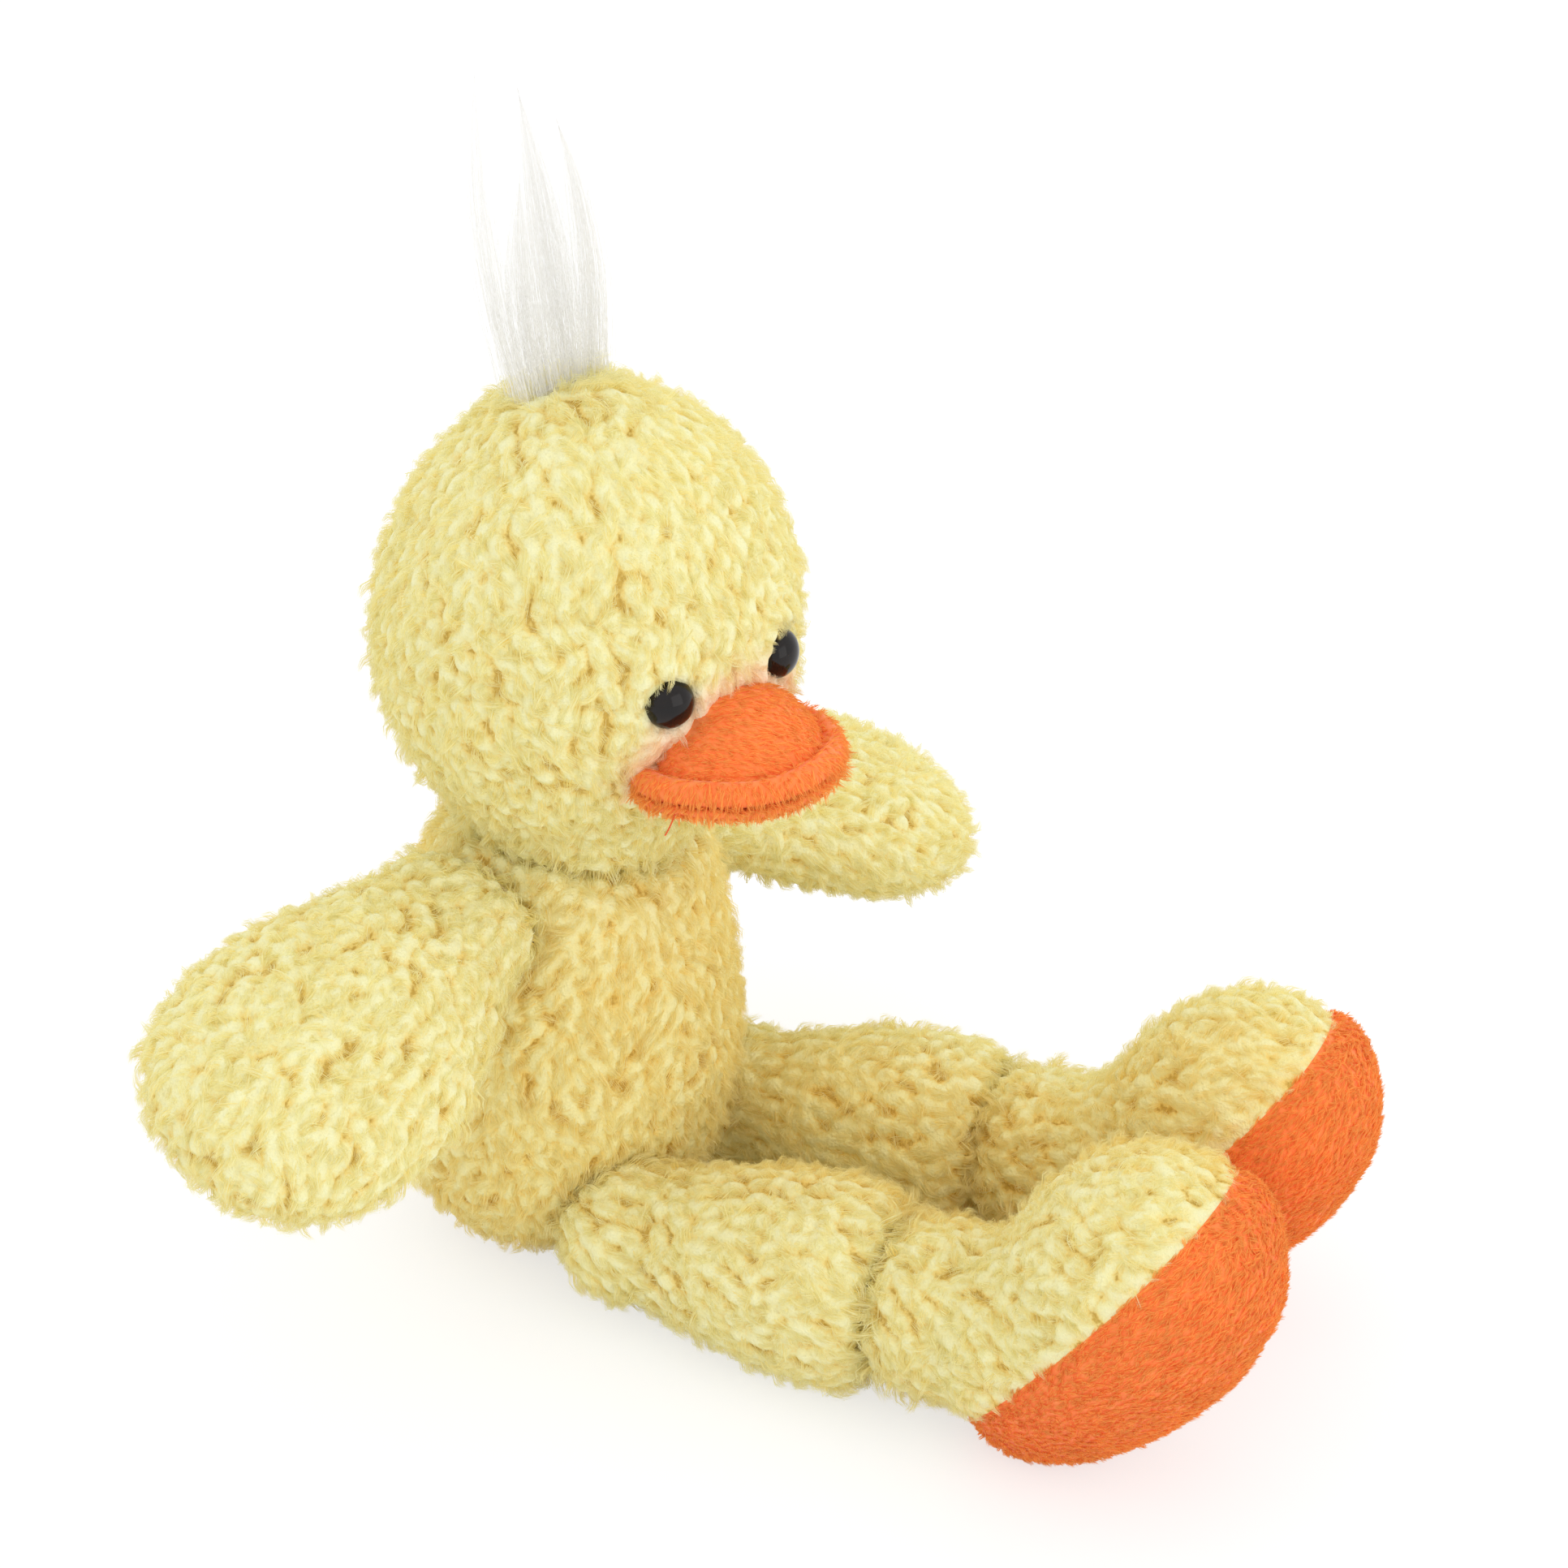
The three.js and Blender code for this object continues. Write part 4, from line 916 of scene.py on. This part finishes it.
for strand in range(crestSettings["strands"]):
    across, deep = rng.uniform(-1, 1), rng.normal(0, 0.5)
    root = crestBase + sideways * across * crestSettings["half"][0] + backward * deep * crestSettings["half"][1]
    order = np.interp(across + rng.normal(0, 0.13), [-1, 1], [tipAcross.min(), tipAcross.max()])
    tip = tips[np.argmin(np.abs(tipAcross - order))]
    reach = crestSettings["shortest"] + crestSettings["spanOfLengths"] * rng.random() ** 0.6
    loose = rng.random() < crestSettings["strayShare"]
    away = rng.normal(0, 1, 3) * crestSettings["stray"] * (crestSettings["strayMore"] if loose else 1)
    bow = rng.normal(0, 1, 3) * crestSettings["stray"]
    spline = hair.splines.new("POLY")
    spline.points.add(crestSettings["steps"] - 1)
    for step in range(crestSettings["steps"]):
        share = reach * step / (crestSettings["steps"] - 1)
        straight = root + (tip - crestBase) * share
        drawn = straight * (1 - share ** 1.3) + (root + (tip - root) * share) * share ** 1.3
        place = drawn + away * share ** 1.5 * (1 if loose else 1 - share) + bow * math.sin(math.pi * share)
        spline.points[step].co = (*place, 1)
        spline.points[step].radius = 1.0 - crestSettings["taper"] * (step / (crestSettings["steps"] - 1)) ** 2
crest = bpy.data.objects.new("crest_hair", hair)
scene.collection.objects.link(crest)
pick(crest)
bpy.ops.object.convert(target="MESH")
crest = bpy.context.object
crest.data.materials.clear()
crest.data.materials.append(hairPaint)
field(crest, "tuftTone", "FLOAT", np.full(len(crest.data.vertices), 0.5))
finishPiece(crest, "head", "long_hair", "crest_locks")
print("crest combed", len(crest.data.polygons))


# seam threads: each ring is drawn in under the pile and twisted
threadSettings = {"drawnIn": 6.5 * mm, "dark": (0.50, 0.38, 0.13), "light": (0.82, 0.70, 0.36), "twist": 900.0}
seamThread = threadPaint("seamThread", threadSettings["dark"], threadSettings["light"], threadSettings["twist"])
for name, node in nodes.items():
    if name.endswith("_thread"):
        ring = copyNodes(name.replace("_thread", "_gather"), name)
        places = points(ring)
        centre = (places.max(0) + places.min(0)) / 2
        radius = np.linalg.norm(places - centre, axis=1).mean()
        setPoints(ring, centre + (places - centre) * (1 - threadSettings["drawnIn"] / radius))
        fine = ring.modifiers.new("fine", "SUBSURF")
        fine.levels = fine.render_levels = 1
        applyModifiers(ring)
        bpy.ops.object.shade_smooth()
        ring.data.materials.append(seamThread)
        finishPiece(ring, node["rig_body"], "sewing_thread", name)


# CAD nodes that stay: the eye washers and the crest's tape, both inside the head
keptPaints = {"eye_washer_left": washerPaint(), "crest_tab": tabPaint()}
keptPaints["eye_washer_right"] = keptPaints["eye_washer_left"]
for name, paint in keptPaints.items():
    nodes[name].data.materials.clear()
    nodes[name].data.materials.append(paint)


# floor, light and camera
bpy.ops.object.select_all(action="DESELECT")
bpy.ops.mesh.primitive_plane_add(size=8, location=(0, 0, 0))
floor = bpy.context.object
floor.name = "floor"
floorPaint = bpy.data.materials.new("whiteFloor")
floorPaint.use_nodes = True
tree = floorPaint.node_tree
tree.nodes.clear()
path = put(tree, "ShaderNodeLightPath")
seen = path.outputs["Is Camera Ray"]
for ray in ("Is Glossy Ray", "Is Transmission Ray"):
    seen = put(tree, "ShaderNodeMath", {0: seen, 1: path.outputs[ray]}, operation="MAXIMUM").outputs[0]
matt = put(tree, "ShaderNodeBsdfDiffuse", {"Color": (0.92, 0.92, 0.92, 1)})
shaded = put(tree, "ShaderNodeBsdfDiffuse", {"Color": (0.4, 0.4, 0.4, 1)})
lit = put(tree, "ShaderNodeEmission", {"Color": (1, 1, 1, 1), "Strength": 0.66})
shown = put(tree, "ShaderNodeAddShader", {0: shaded.outputs[0], 1: lit.outputs[0]})
either = put(tree, "ShaderNodeMixShader", {0: seen, 1: matt.outputs[0], 2: shown.outputs[0]})
put(tree, "ShaderNodeOutputMaterial", {"Surface": either.outputs[0]})
floor.data.materials.append(floorPaint)

world = bpy.data.worlds.new("studio")
scene.world = world
world.use_nodes = True
tree = world.node_tree
tree.nodes.clear()
path = put(tree, "ShaderNodeLightPath")
level = put(tree, "ShaderNodeMapRange", {"Value": path.outputs["Is Camera Ray"], 3: 1.04, 4: 1.0})
sky = put(tree, "ShaderNodeBackground", {"Color": (1, 1, 1, 1), "Strength": level.outputs[0]})
put(tree, "ShaderNodeOutputWorld", {"Surface": sky.outputs[0]})

lampSettings = {
    "key": {"at": (-1.1, -0.3, 1.5), "size": 1.0, "watts": 0.2},
    "top": {"at": (0.2, 0.1, 1.7), "size": 1.4, "watts": 0.2},
    "fill": {"at": (-0.5, -1.5, 0.7), "size": 1.2, "watts": 3.3},
}
for name, lamp in lampSettings.items():
    bpy.ops.object.light_add(type="AREA", location=lamp["at"])
    light = bpy.context.object
    light.name = name
    light.data.size = lamp["size"]
    light.data.energy = lamp["watts"]
    light.rotation_euler = (Vector((0, -0.04, 0.1)) - Vector(lamp["at"])).to_track_quat("-Z", "Y").to_euler()

cameraSettings = {"at": (-0.8814, -0.3942, 0.7047), "look": (0.00152, -0.05431, 0.13606), "angle": 19.0, "roll": 3.42}
bpy.ops.object.camera_add(location=cameraSettings["at"])
camera = bpy.context.object
camera.rotation_euler = (Vector(cameraSettings["look"]) - Vector(cameraSettings["at"])).to_track_quat("-Z", "Y").to_euler()
camera.rotation_euler.rotate_axis("Z", math.radians(cameraSettings["roll"]))
camera.data.angle = math.radians(cameraSettings["angle"])
scene.camera = camera
scene.view_settings.view_transform = "Standard"

for group in (pileTufts, napTufts):
    for tuft in list(group.objects):
        bpy.data.objects.remove(tuft)
    bpy.data.collections.remove(group)
print("scene ready")
